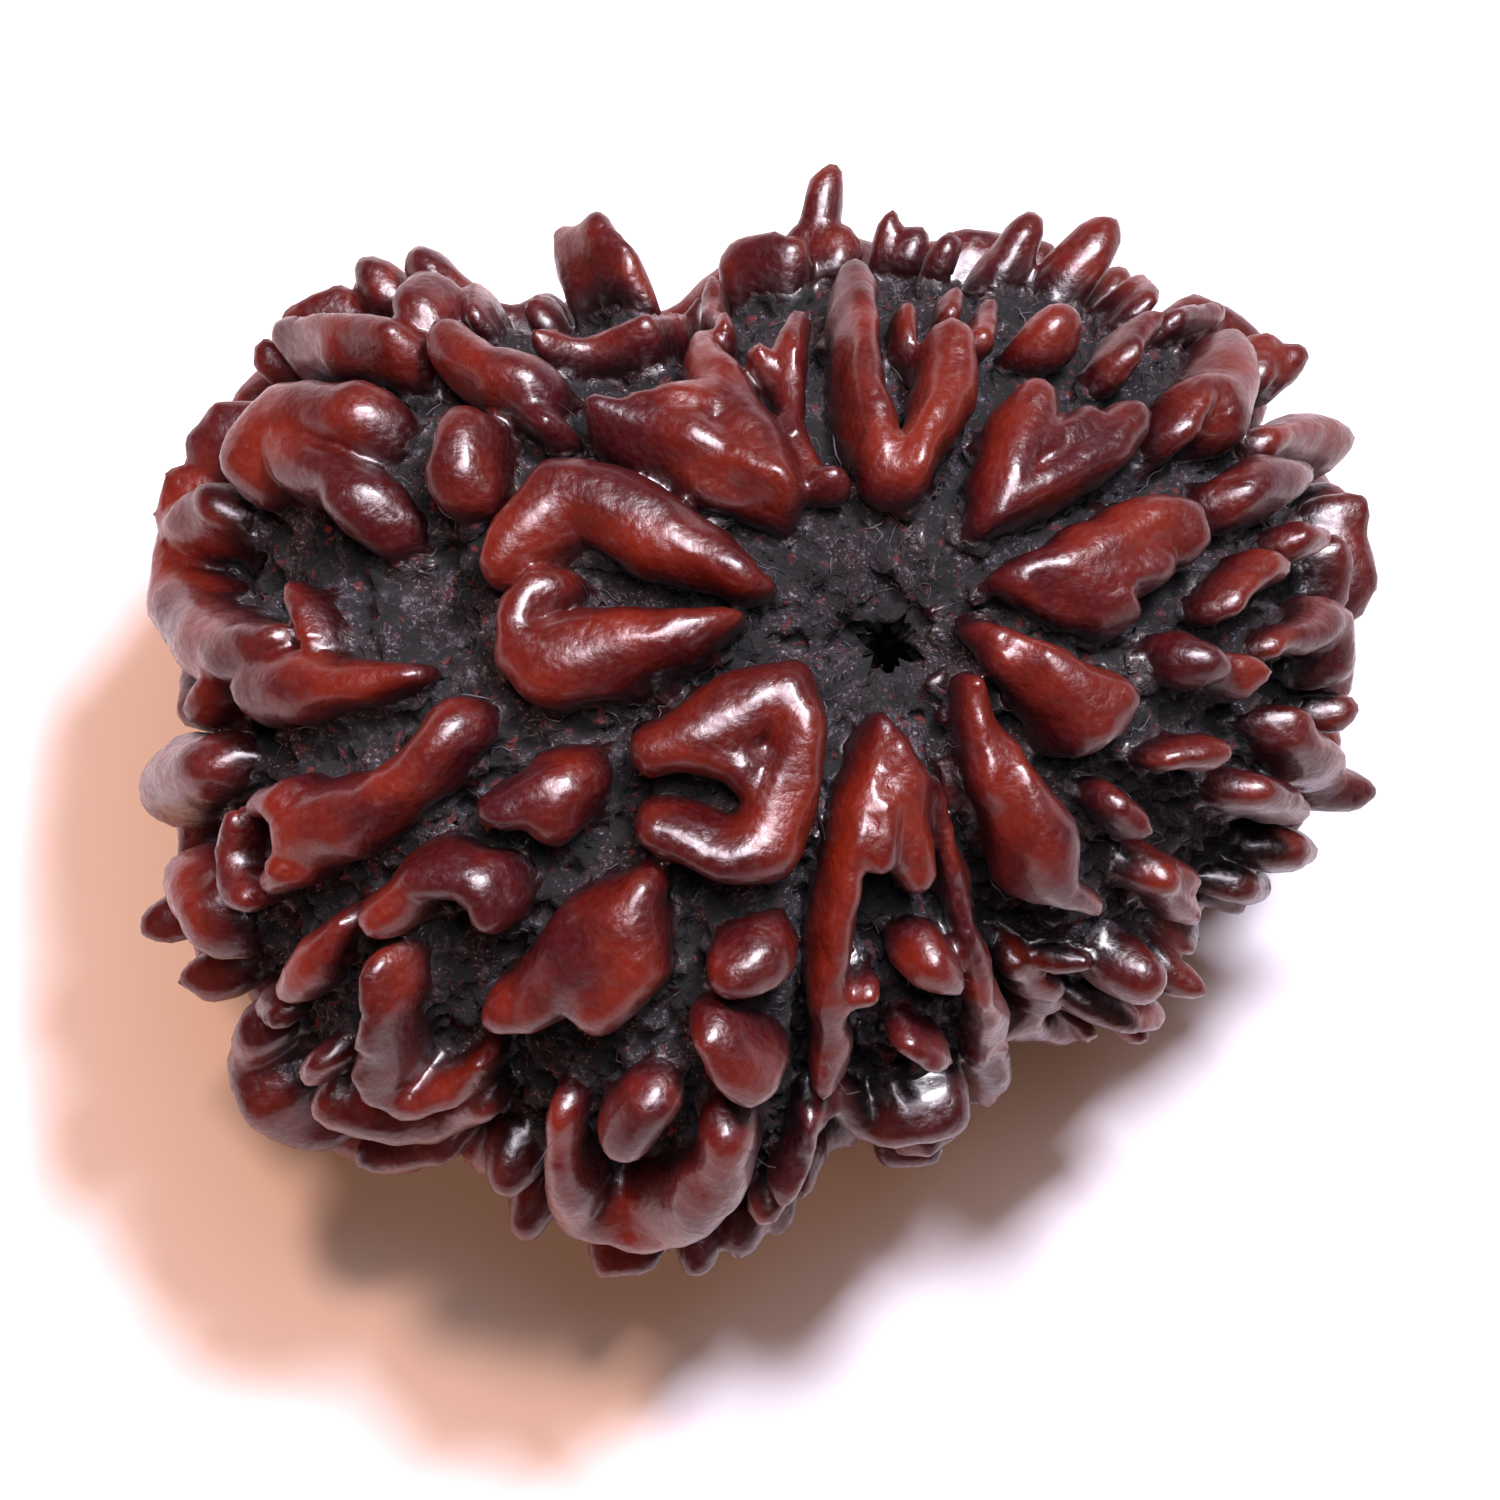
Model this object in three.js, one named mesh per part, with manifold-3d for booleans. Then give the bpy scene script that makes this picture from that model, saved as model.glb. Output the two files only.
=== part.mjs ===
// Eleven mukhi rudraksha, the whole seed stone of the utrasum bead tree.
// It is one grown piece: a flattened heart-shaped stone with eleven furrows running from pole to
// pole, tall waxy lobes between them, and a thread hole from pole to pole.
// Millimetres, +Z up along the thread hole. The origin is under the middle of the seed, on the
// surface that it rests on. Right in the tables is +X, and the seen face looks up and towards -Y.

import * as THREE from 'three';
import { ConvexHull } from 'three/addons/math/ConvexHull.js';
import { mergeVertices } from 'three/addons/utils/BufferGeometryUtils.js';
import Module from 'manifold-3d';

// Driving dimensions of the stone, in millimetres and degrees.
const TOP_HALF_HEIGHT = 7.4;
const UNDER_HALF_HEIGHT = 7.3;
const PROFILE_POWER = 2.3;
const CREST_HEIGHT = 1.7;
const READ_HEIGHT = 1.1;
const REST_DEPTH = 8.22;
const MIDDLE_X = -0.01;
const MIDDLE_Y = -0.26;
const POLE = [2.5, -0.2];
const HOLE_RADIUS = 0.6;
const HOLE_SIDES = 20;
const HOLE_LENGTH = 30;
const LOOK_ELEVATION = 75;

// The valley floor's radius in plan, by direction: [degrees from +X, millimetres].
const OUTLINE = [
  [0, 10.3], [12, 10.8], [24, 11.1], [36, 11], [48, 10.1], [60, 9.4], [75, 8.5], [88, 7.9],
  [96, 7.3], [103, 6.8], [110, 8.2], [121, 8], [130, 9.9], [141, 10.7], [155, 10.9], [170, 10.4],
  [188, 10.4], [203, 10.9], [212, 10.6], [220, 11], [229, 10.2], [236, 9.1], [243, 9.4], [250, 9.6],
  [263, 9.6], [274, 8.5], [280, 7.3], [287, 7.8], [295, 7.9], [304, 7.2], [313, 6.9], [321, 8.4],
  [335, 8.4], [346, 9.5],
];

// Lobes of the seen face, read off by hand. Each lobe runs through points of [right, up, half
// width] in millimetres from the seed's middle, as seen from LOOK_ELEVATION above the horizon.
// The points lie READ_HEIGHT above the valley floor, well up a lobe's side.
const POLAR_LOBES = [
  [
    [0.1, 2.54, 0.2], [-0.4, 2.76, 0.4], [-1.2, 3.18, 0.68], [-2.2, 3.76, 0.84], [-3.24, 4.3, 0.8],
    [-3.96, 4.46, 0.68], [-4.54, 3.7, 0.68], [-5.04, 3.02, 0.44],
  ],
  [[-4.64, 2.06, 0.48], [-4.36, 2.42, 0.44], [-4.04, 2.5, 0.34]],
  [
    [-0.44, 1.96, 0.18], [-1.2, 1.76, 0.4], [-2.2, 1.44, 0.68], [-3.2, 1.2, 0.86], [-4.1, 1.1, 0.88],
    [-4.64, 1.26, 0.64], [-4.76, 1.74, 0.48],
  ],
  [[-1.24, 7.26, 0.32], [-1, 6.6, 0.6], [-0.44, 5.6, 0.8], [0.16, 4.66, 0.68]],
  [[-3.1, 5.8, 0.4], [-2.2, 5.5, 0.56], [-1.1, 5.04, 0.68], [-0.2, 4.6, 0.68], [0.4, 4.34, 0.4]],
  [[-2.2, 5.8, 0.4], [-1.4, 5.9, 0.6], [-0.96, 6, 0.68]],
  [[1.86, 8.6, 0.36], [1.96, 7.5, 0.42], [2.04, 6.3, 0.44], [2.3, 5.3, 0.4], [2.66, 4.7, 0.4]],
  [[3.68, 7.06, 0.52], [3.72, 6.6, 0.54], [3.52, 5.9, 0.46], [3.16, 5.2, 0.38], [2.76, 4.7, 0.36]],
  [[4.5, 8.1, 0.2], [4.3, 7.4, 0.24]],
  [
    [0.74, 7.8, 0.24], [0.46, 7.1, 0.32], [0.64, 6.1, 0.26], [0.96, 5.2, 0.22], [1.24, 4.6, 0.28],
    [1.66, 4.54, 0.2],
  ],
  [[0.04, 7, 0.3], [0.4, 6.86, 0.24]],
  [[4.5, 3.8, 0.24], [4.76, 4.5, 0.4], [5.04, 5.3, 0.48], [5.4, 6.06, 0.48]],
  [[4.6, 3.9, 0.28], [5.3, 4.34, 0.32], [6.2, 4.8, 0.4], [6.9, 5.3, 0.48], [7.16, 5.74, 0.4]],
  [[5.5, 5.14, 0.34], [6, 5.5, 0.32], [6.5, 5.7, 0.28]],
  [
    [4.9, 2.6, 0.2], [5.6, 2.9, 0.48], [6.6, 3.24, 0.56], [7.6, 3.7, 0.56], [8.16, 3.8, 0.52],
    [8.24, 3.4, 0.48],
  ],
  [[5.1, 2.54, 0.24], [6, 2.34, 0.34], [6.8, 2.1, 0.38], [7.24, 1.86, 0.32]],
  [[6, 2.74, 0.34], [6.9, 2.62, 0.4], [7.76, 2.86, 0.4]],
  [[4.5, 1.74, 0.2], [5, 1.2, 0.4], [5.7, 0.7, 0.56], [6.4, 0.2, 0.72], [6.84, 0.26, 0.64]],
  [[6.4, 0.1, 0.68], [6.3, -0.5, 0.36]],
  [[4.24, 0.6, 0.24], [4.5, -0.3, 0.36], [4.9, -1.3, 0.56], [5.5, -2.3, 0.76], [5.6, -3.3, 0.7]],
  [[5.7, -3.4, 0.56], [6.6, -3.84, 0.2]],
  [[0.56, 0.5, 0.52], [-0.3, 0.06, 0.76], [-1.2, -0.4, 0.72], [-2, -0.74, 0.48]],
  [
    [0.76, 0, 0.48], [0.7, -0.9, 0.56], [0.44, -1.7, 0.76], [0.24, -2.5, 0.76], [-0.5, -2.74, 0.6],
    [-1.36, -2.46, 0.56], [-2.1, -2.1, 0.38],
  ],
  [[-1.1, -0.6, 0.44], [-0.24, -1.06, 0.52]],
  [
    [2.34, -0.2, 0.24], [2.16, -1.3, 0.32], [1.8, -2.3, 0.38], [1.56, -3.5, 0.42], [1.36, -4.7, 0.4],
    [1.36, -5.9, 0.4], [1.34, -6.86, 0.4],
  ],
  [[2.6, -0.7, 0.4], [2.86, -1.7, 0.52], [3, -2.7, 0.5], [3.08, -3.22, 0.34]],
  [[2.44, -1.7, 0.44], [2.36, -2.7, 0.44]],
  [
    [3.5, -1.3, 0.16], [3.8, -2.1, 0.24], [3.9, -2.9, 0.3], [4.04, -4.1, 0.32], [4.3, -5.3, 0.4],
    [4.5, -6.5, 0.48], [4.5, -7.2, 0.48],
  ],
];

const UPPER_LOBES = [
  [[-4.4, 7.4, 0.28], [-3.2, 7.4, 0.3], [-2.2, 7.6, 0.28], [-1.56, 7.8, 0.16]],
  [[-3.76, 9.62, 0.48], [-3.08, 9.5, 0.52], [-2.64, 9.06, 0.4]],
  [[-0.96, 8.3, 0.28], [-0.7, 7.5, 0.2]],
  [[-0.44, 8.94, 0.4], [0.6, 9.14, 0.36]],
  [[1.36, 10.66, 0.38]],
  [[1.56, 9.3, 0.52]],
  [[0.84, 9.66, 0.36]],
  [[2.66, 9.94, 0.26]],
  [[3.08, 9.44, 0.32]],
  [[3.64, 9.22, 0.3]],
  [[5.74, 7.44, 0.5]],
  [[6.44, 9.06, 0.52]],
  [[6.64, 9.4, 0.56]],
  [[5.2, 9.58, 0.46]],
  [[5.12, 9.3, 0.44]],
  [[7.4, 7.5, 0.36], [7.1, 6.9, 0.32]],
  [[7.44, 8.46, 0.3], [7.6, 8.2, 0.24]],
  [[8.24, 7.86, 0.26], [9.1, 8, 0.28]],
  [[3.9, 8.3, 0.22], [3.76, 7.94, 0.18]],
  [[2.9, 7.94, 0.2], [2.96, 7.4, 0.18]],
];

const UPPER_LEFT_LOBES = [
  [[-7.6, 8.66, 0.5]],
  [[-6.7, 7.94, 0.56], [-6.48, 8.3, 0.6]],
  [[-6.28, 8.7, 0.68]],
  [[-9.2, 7.36, 0.44], [-8.2, 7.36, 0.52], [-7.2, 7.3, 0.48]],
  [[-9.2, 7.9, 0.36], [-8.2, 8.2, 0.36]],
  [[-9.8, 7.3, 0.3], [-9.96, 7, 0.24]],
  [[-9.96, 5, 0.68], [-9.5, 5.7, 0.88], [-8.7, 5.94, 0.76], [-7.84, 5.86, 0.68]],
  [[-9.2, 5.2, 0.68], [-8.4, 4.74, 0.54], [-7.88, 4.14, 0.72]],
  [[-11.14, 5.26, 0.44], [-10.5, 6.14, 0.4]],
  [[-11.54, 4.7, 0.36], [-11.84, 3.9, 0.32]],
  [[-6, 7.26, 0.56], [-5.36, 6.74, 0.46], [-4.64, 6.54, 0.66]],
  [[-5.8, 5.4, 0.64], [-5.84, 4.74, 0.68]],
  [
    [-10.8, 4.16, 0.44], [-11.3, 3.5, 0.68], [-11.44, 2.4, 0.72], [-11.14, 1.5, 0.8], [-10.3, 1.2, 0.64],
    [-9.5, 1.46, 0.32],
  ],
  [[-5.2, 6.4, 0.36], [-4.24, 5.8, 0.3]],
  [[-5.52, 8.3, 0.3], [-5.68, 7.94, 0.24]],
];

const LEFT_LOBES = [
  [[-9.88, 0.5, 0.72], [-9, 0.6, 0.68], [-8.2, 0.6, 0.48], [-7.5, 0.7, 0.26], [-6.8, 0.8, 0.18]],
  [[-9.4, 2.6, 0.18], [-9.04, 2.06, 0.26], [-8.84, 1.5, 0.26]],
  [[-11.46, -1.4, 0.8], [-10.84, -1, 0.64]],
  [[-10.76, 0.74, 0.24], [-11.1, 0.1, 0.3]],
  [[-6, -0.36, 0.54], [-6.56, -1, 0.52], [-7.4, -1.64, 0.64], [-8.3, -2.06, 0.76], [-8.9, -2.26, 0.84]],
  [[-10.3, -2.06, 0.24], [-10.48, -2.7, 0.24], [-10.3, -3.4, 0.28], [-9.88, -3.54, 0.28]],
  [[-9.2, -1.7, 0.44], [-9.84, -1.82, 0.24]],
  [[-9.2, -2.94, 0.48], [-9.6, -3.3, 0.28]],
  [[-11.24, -3.14, 0.52], [-10.96, -3.8, 0.72], [-10.76, -4.3, 0.64]],
  [[-11.92, -4.1, 0.44]],
  [[-11.24, -5.4, 0.52]],
  [
    [-7.28, -3.86, 0.54], [-6.76, -3.2, 0.48], [-6.04, -3.06, 0.5], [-5.36, -3.34, 0.52],
    [-5.14, -3.9, 0.44],
  ],
  [[-4.96, -1.82, 0.5], [-4.3, -1.5, 0.76], [-3.76, -1.4, 0.68], [-4, -1.86, 0.6]],
  [[-8.24, -4.2, 0.24], [-8.76, -4.8, 0.48], [-9.14, -5.34, 0.54]],
  [[-9.4, -5.86, 0.24], [-9.76, -5.7, 0.24]],
  [
    [-7.34, -4.94, 0.32], [-7.24, -5.7, 0.34], [-7.44, -6.6, 0.4], [-7.3, -7.3, 0.48],
    [-6.6, -7.5, 0.44], [-5.9, -7.2, 0.4], [-5.4, -6.8, 0.24],
  ],
  [[-8.3, -7.74, 0.68], [-7.2, -8.06, 0.68], [-6.2, -8, 0.56], [-5.4, -7.6, 0.32]],
  [[-8.6, -6.8, 0.32], [-8.76, -7.1, 0.28]],
  [[-9.8, -6.1, 0.4], [-10.16, -6.8, 0.5], [-9.84, -7.6, 0.52], [-9.24, -8.26, 0.44], [-8.5, -8.5, 0.28]],
  [[-4.98, -8.86, 0.58]],
  [[-4.56, -9.86, 0.54]],
];

const LOWER_LOBES = [
  [[-0.5, -4.94, 0.54], [0.1, -4.74, 0.68]],
  [[-0.92, -6.1, 0.4], [-0.5, -6.66, 0.56], [-0.04, -7, 0.56]],
  [[-2.16, -7.54, 0.52], [-2.64, -8.18, 0.66]],
  [
    [-3.88, -7.7, 0.26], [-3.8, -8.7, 0.4], [-3.5, -9.7, 0.64], [-2.4, -10.1, 0.72], [-1.3, -9.7, 0.76],
    [-0.64, -8.9, 0.7], [-0.64, -8.2, 0.52],
  ],
  [[-3.2, -10.82, 0.32], [-2.3, -10.86, 0.32]],
  [[-1.26, -10.7, 0.48]],
  [[0.96, -7.9, 0.28], [0.8, -8.6, 0.48], [0.6, -9, 0.4]],
  [[0.16, -9.6, 0.4]],
  [[-0.24, -10.26, 0.5]],
  [[0.3, -10.2, 0.28], [0.6, -10.06, 0.24]],
  [
    [-2.1, -3.14, 0.28], [-2.5, -3.7, 0.56], [-3.3, -4.46, 0.88], [-3.9, -5.02, 0.8],
    [-4.44, -5.58, 0.54], [-5.04, -5.7, 0.42],
  ],
  [[-2.36, -4.2, 0.52], [-2.6, -5, 0.68], [-3.16, -5.66, 0.68]],
  [[3.3, -4.8, 0.56], [3.7, -5.2, 0.32]],
  [[2.2, -5.4, 0.22], [1.7, -5.5, 0.24]],
  [[2.8, -6.4, 0.24], [3.3, -6.6, 0.32], [3.6, -6.7, 0.2]],
  [[1.1, -7.7, 0.36], [2, -7.94, 0.4], [2.9, -8, 0.56], [3.6, -7.86, 0.68]],
  [[2.5, -8.66, 0.28], [3.5, -8.7, 0.22]],
];

const RIGHT_LOBES = [
  [[8.54, 1.14, 0.54], [9.04, 1.14, 0.34]],
  [[9.3, 1, 0.28], [9.7, 0.66, 0.4]],
  [[9.1, 2.2, 0.26], [9.36, 2.6, 0.28], [9.8, 2.94, 0.32], [10.1, 2.8, 0.28]],
  [[8, -0.86, 0.26], [8.4, -0.74, 0.32], [8.8, -0.8, 0.36]],
  [[7.04, -1.7, 0.32], [7.3, -2.06, 0.36]],
  [[9.5, -1.5, 0.36], [10.1, -1.7, 0.44], [10.4, -1.86, 0.36]],
  [[10.5, -0.2, 0.4], [10.8, -0.8, 0.48], [11.2, -1.2, 0.36]],
  [[11.32, 0.06, 0.36]],
  [[11.84, -1.56, 0.46]],
  [[10.2, -2.7, 0.46], [10.8, -2.7, 0.44]],
  [[7.8, -3.1, 0.36], [8.2, -3.5, 0.44], [8.36, -3.8, 0.28]],
  [[9.3, -3.4, 0.36], [9.7, -3.4, 0.36]],
  [[10.1, 1.3, 0.18], [10.8, 1.6, 0.32], [11.3, 1.9, 0.48], [11.3, 1, 0.4]],
  [[11.96, 4.26, 0.32], [11.8, 3.5, 0.4], [11.88, 2.6, 0.44], [11.8, 2.06, 0.28]],
  [[10.5, 3.4, 0.32], [11, 3.5, 0.28]],
  [[9.4, 4.3, 0.52], [10, 4.5, 0.52], [10.5, 4.7, 0.32]],
  [[9.24, 7.26, 0.48], [9.3, 6.6, 0.7], [9.08, 5.94, 0.68]],
  [[9.04, 6.2, 0.56], [8.5, 6.3, 0.4], [8.3, 5.5, 0.32]],
  [[10.04, 7.4, 0.32], [10.04, 6.8, 0.24]],
  [[10.52, 7.1, 0.42]],
  [[10.04, 5.5, 0.28], [10.8, 5.5, 0.44], [11.44, 5.46, 0.44]],
];

const LOWER_RIGHT_LOBES = [
  [[5.1, -4.86, 0.28], [5.5, -5.2, 0.4], [5.48, -5.8, 0.28]],
  [[5.5, -4.9, 0.28], [6.36, -4.94, 0.2]],
  [[6.3, -5.7, 0.4], [7, -5.9, 0.4]],
  [[7.36, -5.14, 0.68]],
  [[7.2, -6, 0.28], [7.84, -6, 0.3]],
  [[8.7, -4.3, 0.4], [8.5, -4.6, 0.28]],
  [[8.56, -5.4, 0.4]],
  [[5.04, -6.1, 0.44], [5.6, -6.14, 0.4]],
  [[6.4, -6.14, 0.28], [6.12, -6.3, 0.24]],
  [[7.4, -6.4, 0.24], [7.64, -6.5, 0.2]],
  [[9.5, -3.86, 0.24], [9.72, -3.94, 0.2]],
];

// Bare hollows of the seen face, in the same form.
const HOLLOWS = [
  [[-6.56, 3.1, 0.6], [-6.48, 1.6, 0.64]],
  [[-9.96, 3.4, 0.44], [-10.08, 2.34, 0.44]],
  [[-3.5, 2.6, 0.28], [-3, 2.4, 0.24]],
  [[-2.4, 6.9, 0.48], [-2.8, 6.6, 0.36]],
  [[-3.1, 8.4, 0.48], [-3.2, 8.7, 0.4]],
  [[0.3, 8.46, 0.4], [0.6, 8.3, 0.32]],
  [[2.5, -4.3, 0.48], [2.5, -4.9, 0.4]],
  [[-5.2, -4.94, 0.44], [-4.9, -4.7, 0.36]],
  [[10.16, 2.26, 0.4], [10.4, 2.06, 0.28]],
  [[6.76, 8.46, 0.32], [6.9, 8.8, 0.2]],
  [[-9.84, -2.7, 0.32], [-9.96, -2.9, 0.28]],
  [[-6.6, -6.1, 0.44], [-6.4, -6.6, 0.36]],
  [[-2.2, -8.9, 0.56], [-1.8, -8.7, 0.48]],
  [[-6.1, -4.2, 0.48], [-6.2, -4.5, 0.4]],
];

// The eleven furrows over the seen face, from the mouth of the hole out: [right, up].
const FURROWS = [
  [[3.4, 4.3], [4.3, 5.5], [4.7, 7.7], [4.6, 9.5]],
  [[4.5, 3.4], [6, 4], [7.8, 4.7], [9.6, 5.7], [11, 6.4]],
  [[4.8, 2.2], [6.6, 1.5], [7.8, 1.3], [9.2, -0.1], [11.7, -0.9]],
  [[4.3, 1.1], [5.2, -0.5], [6.6, -1.5], [7.2, -2.9], [9, -4.3]],
  [[3.9, 0.3], [4.3, -1.7], [4.6, -4.1], [4.9, -5.7], [5, -6.9]],
  [[3.2, -0.1], [3.4, -1.3], [3.6, -3.3], [3.9, -5.7], [4, -7.3]],
  [[1.8, -0.3], [1.4, -1.7], [0.9, -4.1], [0.7, -6.1], [0.6, -7.5]],
  [[0.8, 1.4], [-1.2, 0.7], [-3, -0.5], [-5.4, -1.5], [-6.4, -2.9], [-8.2, -3.5], [-10, -4.9]],
  [[0.6, 3.4], [-1.2, 4.2], [-3.6, 5.2], [-4.3, 5.4], [-6.6, 6.3], [-8.4, 6.5], [-10.4, 6.3]],
  [[1, 4.3], [0.4, 5.9], [-0.4, 7], [-1.4, 8], [-1.6, 8.6]],
  [[1.6, 4.7], [1.4, 5.9], [1.1, 7.3], [0.4, 8.3], [0, 9.5]],
];

const SEEN_LOBES = [
  ...POLAR_LOBES, ...UPPER_LOBES, ...UPPER_LEFT_LOBES, ...LEFT_LOBES, ...LOWER_LOBES,
  ...RIGHT_LOBES, ...LOWER_RIGHT_LOBES,
];

// Relief of a lobe, a hollow, a furrow and the pits at the two poles.
const SEEN_SPREAD = 1.18;
const SLIM_SHARE = 0.55;
const SHARE_PER_MM = 1;
const SIDE_POWER = 2.5;
const SIDE_ROOT = 0.5;
const SEEN_HEIGHT_SHARES = [0.96, 1.12];
const HIDDEN_HEIGHT_SHARES = [0.86, 1.1];
const WEDGE_REACH = [0.75, 1.3];
const WEDGE_TURN = [-0.2, 0.2];
const FURROW_HALF_WIDTH = 0.42;
const FURROW_DEPTH = 0.45;
const PIT_RADIUS = 2.2;
const PIT_DEPTH = 1.3;
const HOLLOW_DEPTH_SHARE = 0.95;

// Furrows on the underside: direction of each from the lower pole, and the radii that it passes.
const UNDER_FURROW_DEGREES = [58, 26, -6, -38, -68, -93, -124, -158, 166, 131, 95];
const UNDER_FURROW_RADII = [6.6, 4.2, 1.9];

// Lobes of the hidden side come from a rule: a ring of wedges round the lower pole, then lobes
// thrown at random, large ones first, each kept clear of what is there already.
const WEDGE_RADII = [2.1, 3.3, 4.9];
const WEDGE_WIDTHS = [0.28, 0.5, 0.78];
const WEDGE_FURROW_GAP = 0.3;
const LOBE_GAP = 0.16;
const HIDDEN_LIMIT = 0.13;
const THROW_SEED = 11;
const THROWS = [
  { tries: 2500, width: [0.52, 0.8], step: [0.8, 1.4] },
  { tries: 6000, width: [0.4, 0.56], step: [0.55, 1] },
  { tries: 14000, width: [0.28, 0.42], step: [0.2, 0.6] },
];
const THROW_TURN = 1.3;
const ARM_TURNS = [1.2, 1.9];
const ARM_SHARE = 0.5;

// Facets: corners stand in rows along each lobe's crest, shoulders and foot, and the rest go
// where the flat faces miss the surface most.
const ROW_STEP = 0.7;
const ROWS = [
  { share: 0, apart: 0.4, narrowest: 0.45 },
  { share: 1.06, apart: 0.42, narrowest: 0 },
  { share: 0.74, apart: 0.36, narrowest: 0 },
];
const CAP_DEGREES = [-50, 0, 50];
const ROWS_APART = 0.09;
const FOOT_RAISED = 0.3;
const OWN_SHARE = 0.93;
const FILL_APART = 0.75;
const FILL_DIRECTIONS = 3200;
const CORNERS = 5850;
const SAMPLES = 60000;
const GROWTH = 1.07;
const CELL = 0.05;
const CELL_MARGIN = 0.012;

const radians = (degrees) => THREE.MathUtils.degToRad(degrees);

// Radius of the valley floor in plan, a smooth closed curve through OUTLINE.
function outlineRadius(angle) {
  const degrees = (THREE.MathUtils.radToDeg(angle) + 360) % 360;
  const count = OUTLINE.length;
  let last = 0;
  while (last < count && OUTLINE[last][0] <= degrees) {
    last += 1;
  }
  const at = (step) => {
    const turns = Math.floor(step / count);
    const point = OUTLINE[step - turns * count];
    return [point[0] + 360 * turns, point[1]];
  };
  const [before, start, end, after] = [at(last - 2), at(last - 1), at(last), at(last + 1)];
  const span = end[0] - start[0];
  const share = (degrees - start[0]) / span;
  const startSlope = (span * (end[1] - before[1])) / (end[0] - before[0]);
  const endSlope = (span * (after[1] - start[1])) / (after[0] - start[0]);
  const cube = share ** 3;
  const square = share ** 2;
  return (
    (2 * cube - 3 * square + 1) * start[1] + (cube - 2 * square + share) * startSlope
    + (3 * square - 2 * cube) * end[1] + (cube - square) * endSlope
  );
}

// Distance from the seed's middle to the valley floor along a unit direction.
function bodyRadius(direction) {
  const flat = Math.hypot(direction.x, direction.y);
  const side = outlineRadius(Math.atan2(direction.y, direction.x));
  const half = direction.z > 0 ? TOP_HALF_HEIGHT : UNDER_HALF_HEIGHT;
  const sum = (flat / side) ** PROFILE_POWER + (Math.abs(direction.z) / half) ** PROFILE_POWER;
  return sum ** (-1 / PROFILE_POWER);
}

const crestRadius = (direction) => bodyRadius(direction) + CREST_HEIGHT;

const tilt = radians(LOOK_ELEVATION);
const FROM_ABOVE = {
  right: new THREE.Vector3(1, 0, 0),
  up: new THREE.Vector3(0, Math.sin(tilt), Math.cos(tilt)),
  toward: new THREE.Vector3(0, -Math.cos(tilt), Math.sin(tilt)),
};
const FROM_BELOW = {
  right: new THREE.Vector3(1, 0, 0),
  up: new THREE.Vector3(0, 1, 0),
  toward: new THREE.Vector3(0, 0, -1),
};
const CAST_START = 14;
const CAST_STEP = 0.1;
const CAST_HALVINGS = 20;

// Where a sight line meets the surface at a height above the valley floor. One that passes
// outside it takes the nearest direction, and its overshoot is how far out it passes.
function castPoint([right, up], view, height) {
  const along = (depth) => new THREE.Vector3()
    .addScaledVector(view.right, right)
    .addScaledVector(view.up, up)
    .addScaledVector(view.toward, depth);
  const clearance = (depth) => {
    const point = along(depth);
    return point.length() - bodyRadius(point.clone().normalize()) - height;
  };
  let nearest = CAST_START;
  let least = clearance(nearest);
  for (let step = 1; step * CAST_STEP < 2 * CAST_START; step += 1) {
    const depth = CAST_START - step * CAST_STEP;
    const gap = clearance(depth);
    if (gap <= 0) {
      let inside = depth;
      let outside = depth + CAST_STEP;
      for (let halving = 0; halving < CAST_HALVINGS; halving += 1) {
        const middle = (inside + outside) / 2;
        if (clearance(middle) <= 0) {
          inside = middle;
        } else {
          outside = middle;
        }
      }
      return { direction: along(inside).normalize(), overshoot: 0 };
    }
    if (gap < least) {
      least = gap;
      nearest = depth;
    }
  }
  return { direction: along(nearest).normalize(), overshoot: least };
}

// How squarely the valley floor faces the viewer along a unit direction: 1 head on, 0 edge on.
function facing(direction) {
  const flat = Math.hypot(direction.x, direction.y);
  const side = outlineRadius(Math.atan2(direction.y, direction.x));
  const half = direction.z > 0 ? TOP_HALF_HEIGHT : UNDER_HALF_HEIGHT;
  const outward = (flat / side) ** (PROFILE_POWER - 1) / side;
  const upward = Math.sign(direction.z) * (Math.abs(direction.z) / half) ** (PROFILE_POWER - 1) / half;
  const normal = new THREE.Vector3((outward * direction.x) / flat, (outward * direction.y) / flat, upward);
  return normal.normalize().dot(FROM_ABOVE.toward);
}

const onCrest = (direction) => direction.clone().multiplyScalar(crestRadius(direction));

// One point of a lobe: its place on the crest surface, its half width at the foot, its height.
// A lobe on the rim of the view reaches as far out as it is seen to.
function lobeKnot(direction, width, tallness, overshoot = 0) {
  const share = Math.min(1, SLIM_SHARE + SHARE_PER_MM * width) * tallness;
  const reach = overshoot > 0 ? READ_HEIGHT + overshoot + width : 0;
  return { place: onCrest(direction), width, height: Math.max(CREST_HEIGHT * share, reach) };
}

function seenLobe(points, draw) {
  const tallness = between(SEEN_HEIGHT_SHARES, draw());
  return links(points.map((point) => {
    const { direction, overshoot } = castPoint(point, FROM_ABOVE, READ_HEIGHT);
    return lobeKnot(direction, point[2] * SEEN_SPREAD, tallness, overshoot);
  }));
}

// Straight pieces between a chain's knots. A single knot is a piece of no length.
function links(knots) {
  return knots.slice(knots.length > 1 ? 1 : 0).map((end, index) => {
    const start = knots[index];
    const run = end.place.clone().sub(start.place);
    return { start, end, run, lengthSquared: run.lengthSq() };
  });
}

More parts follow.
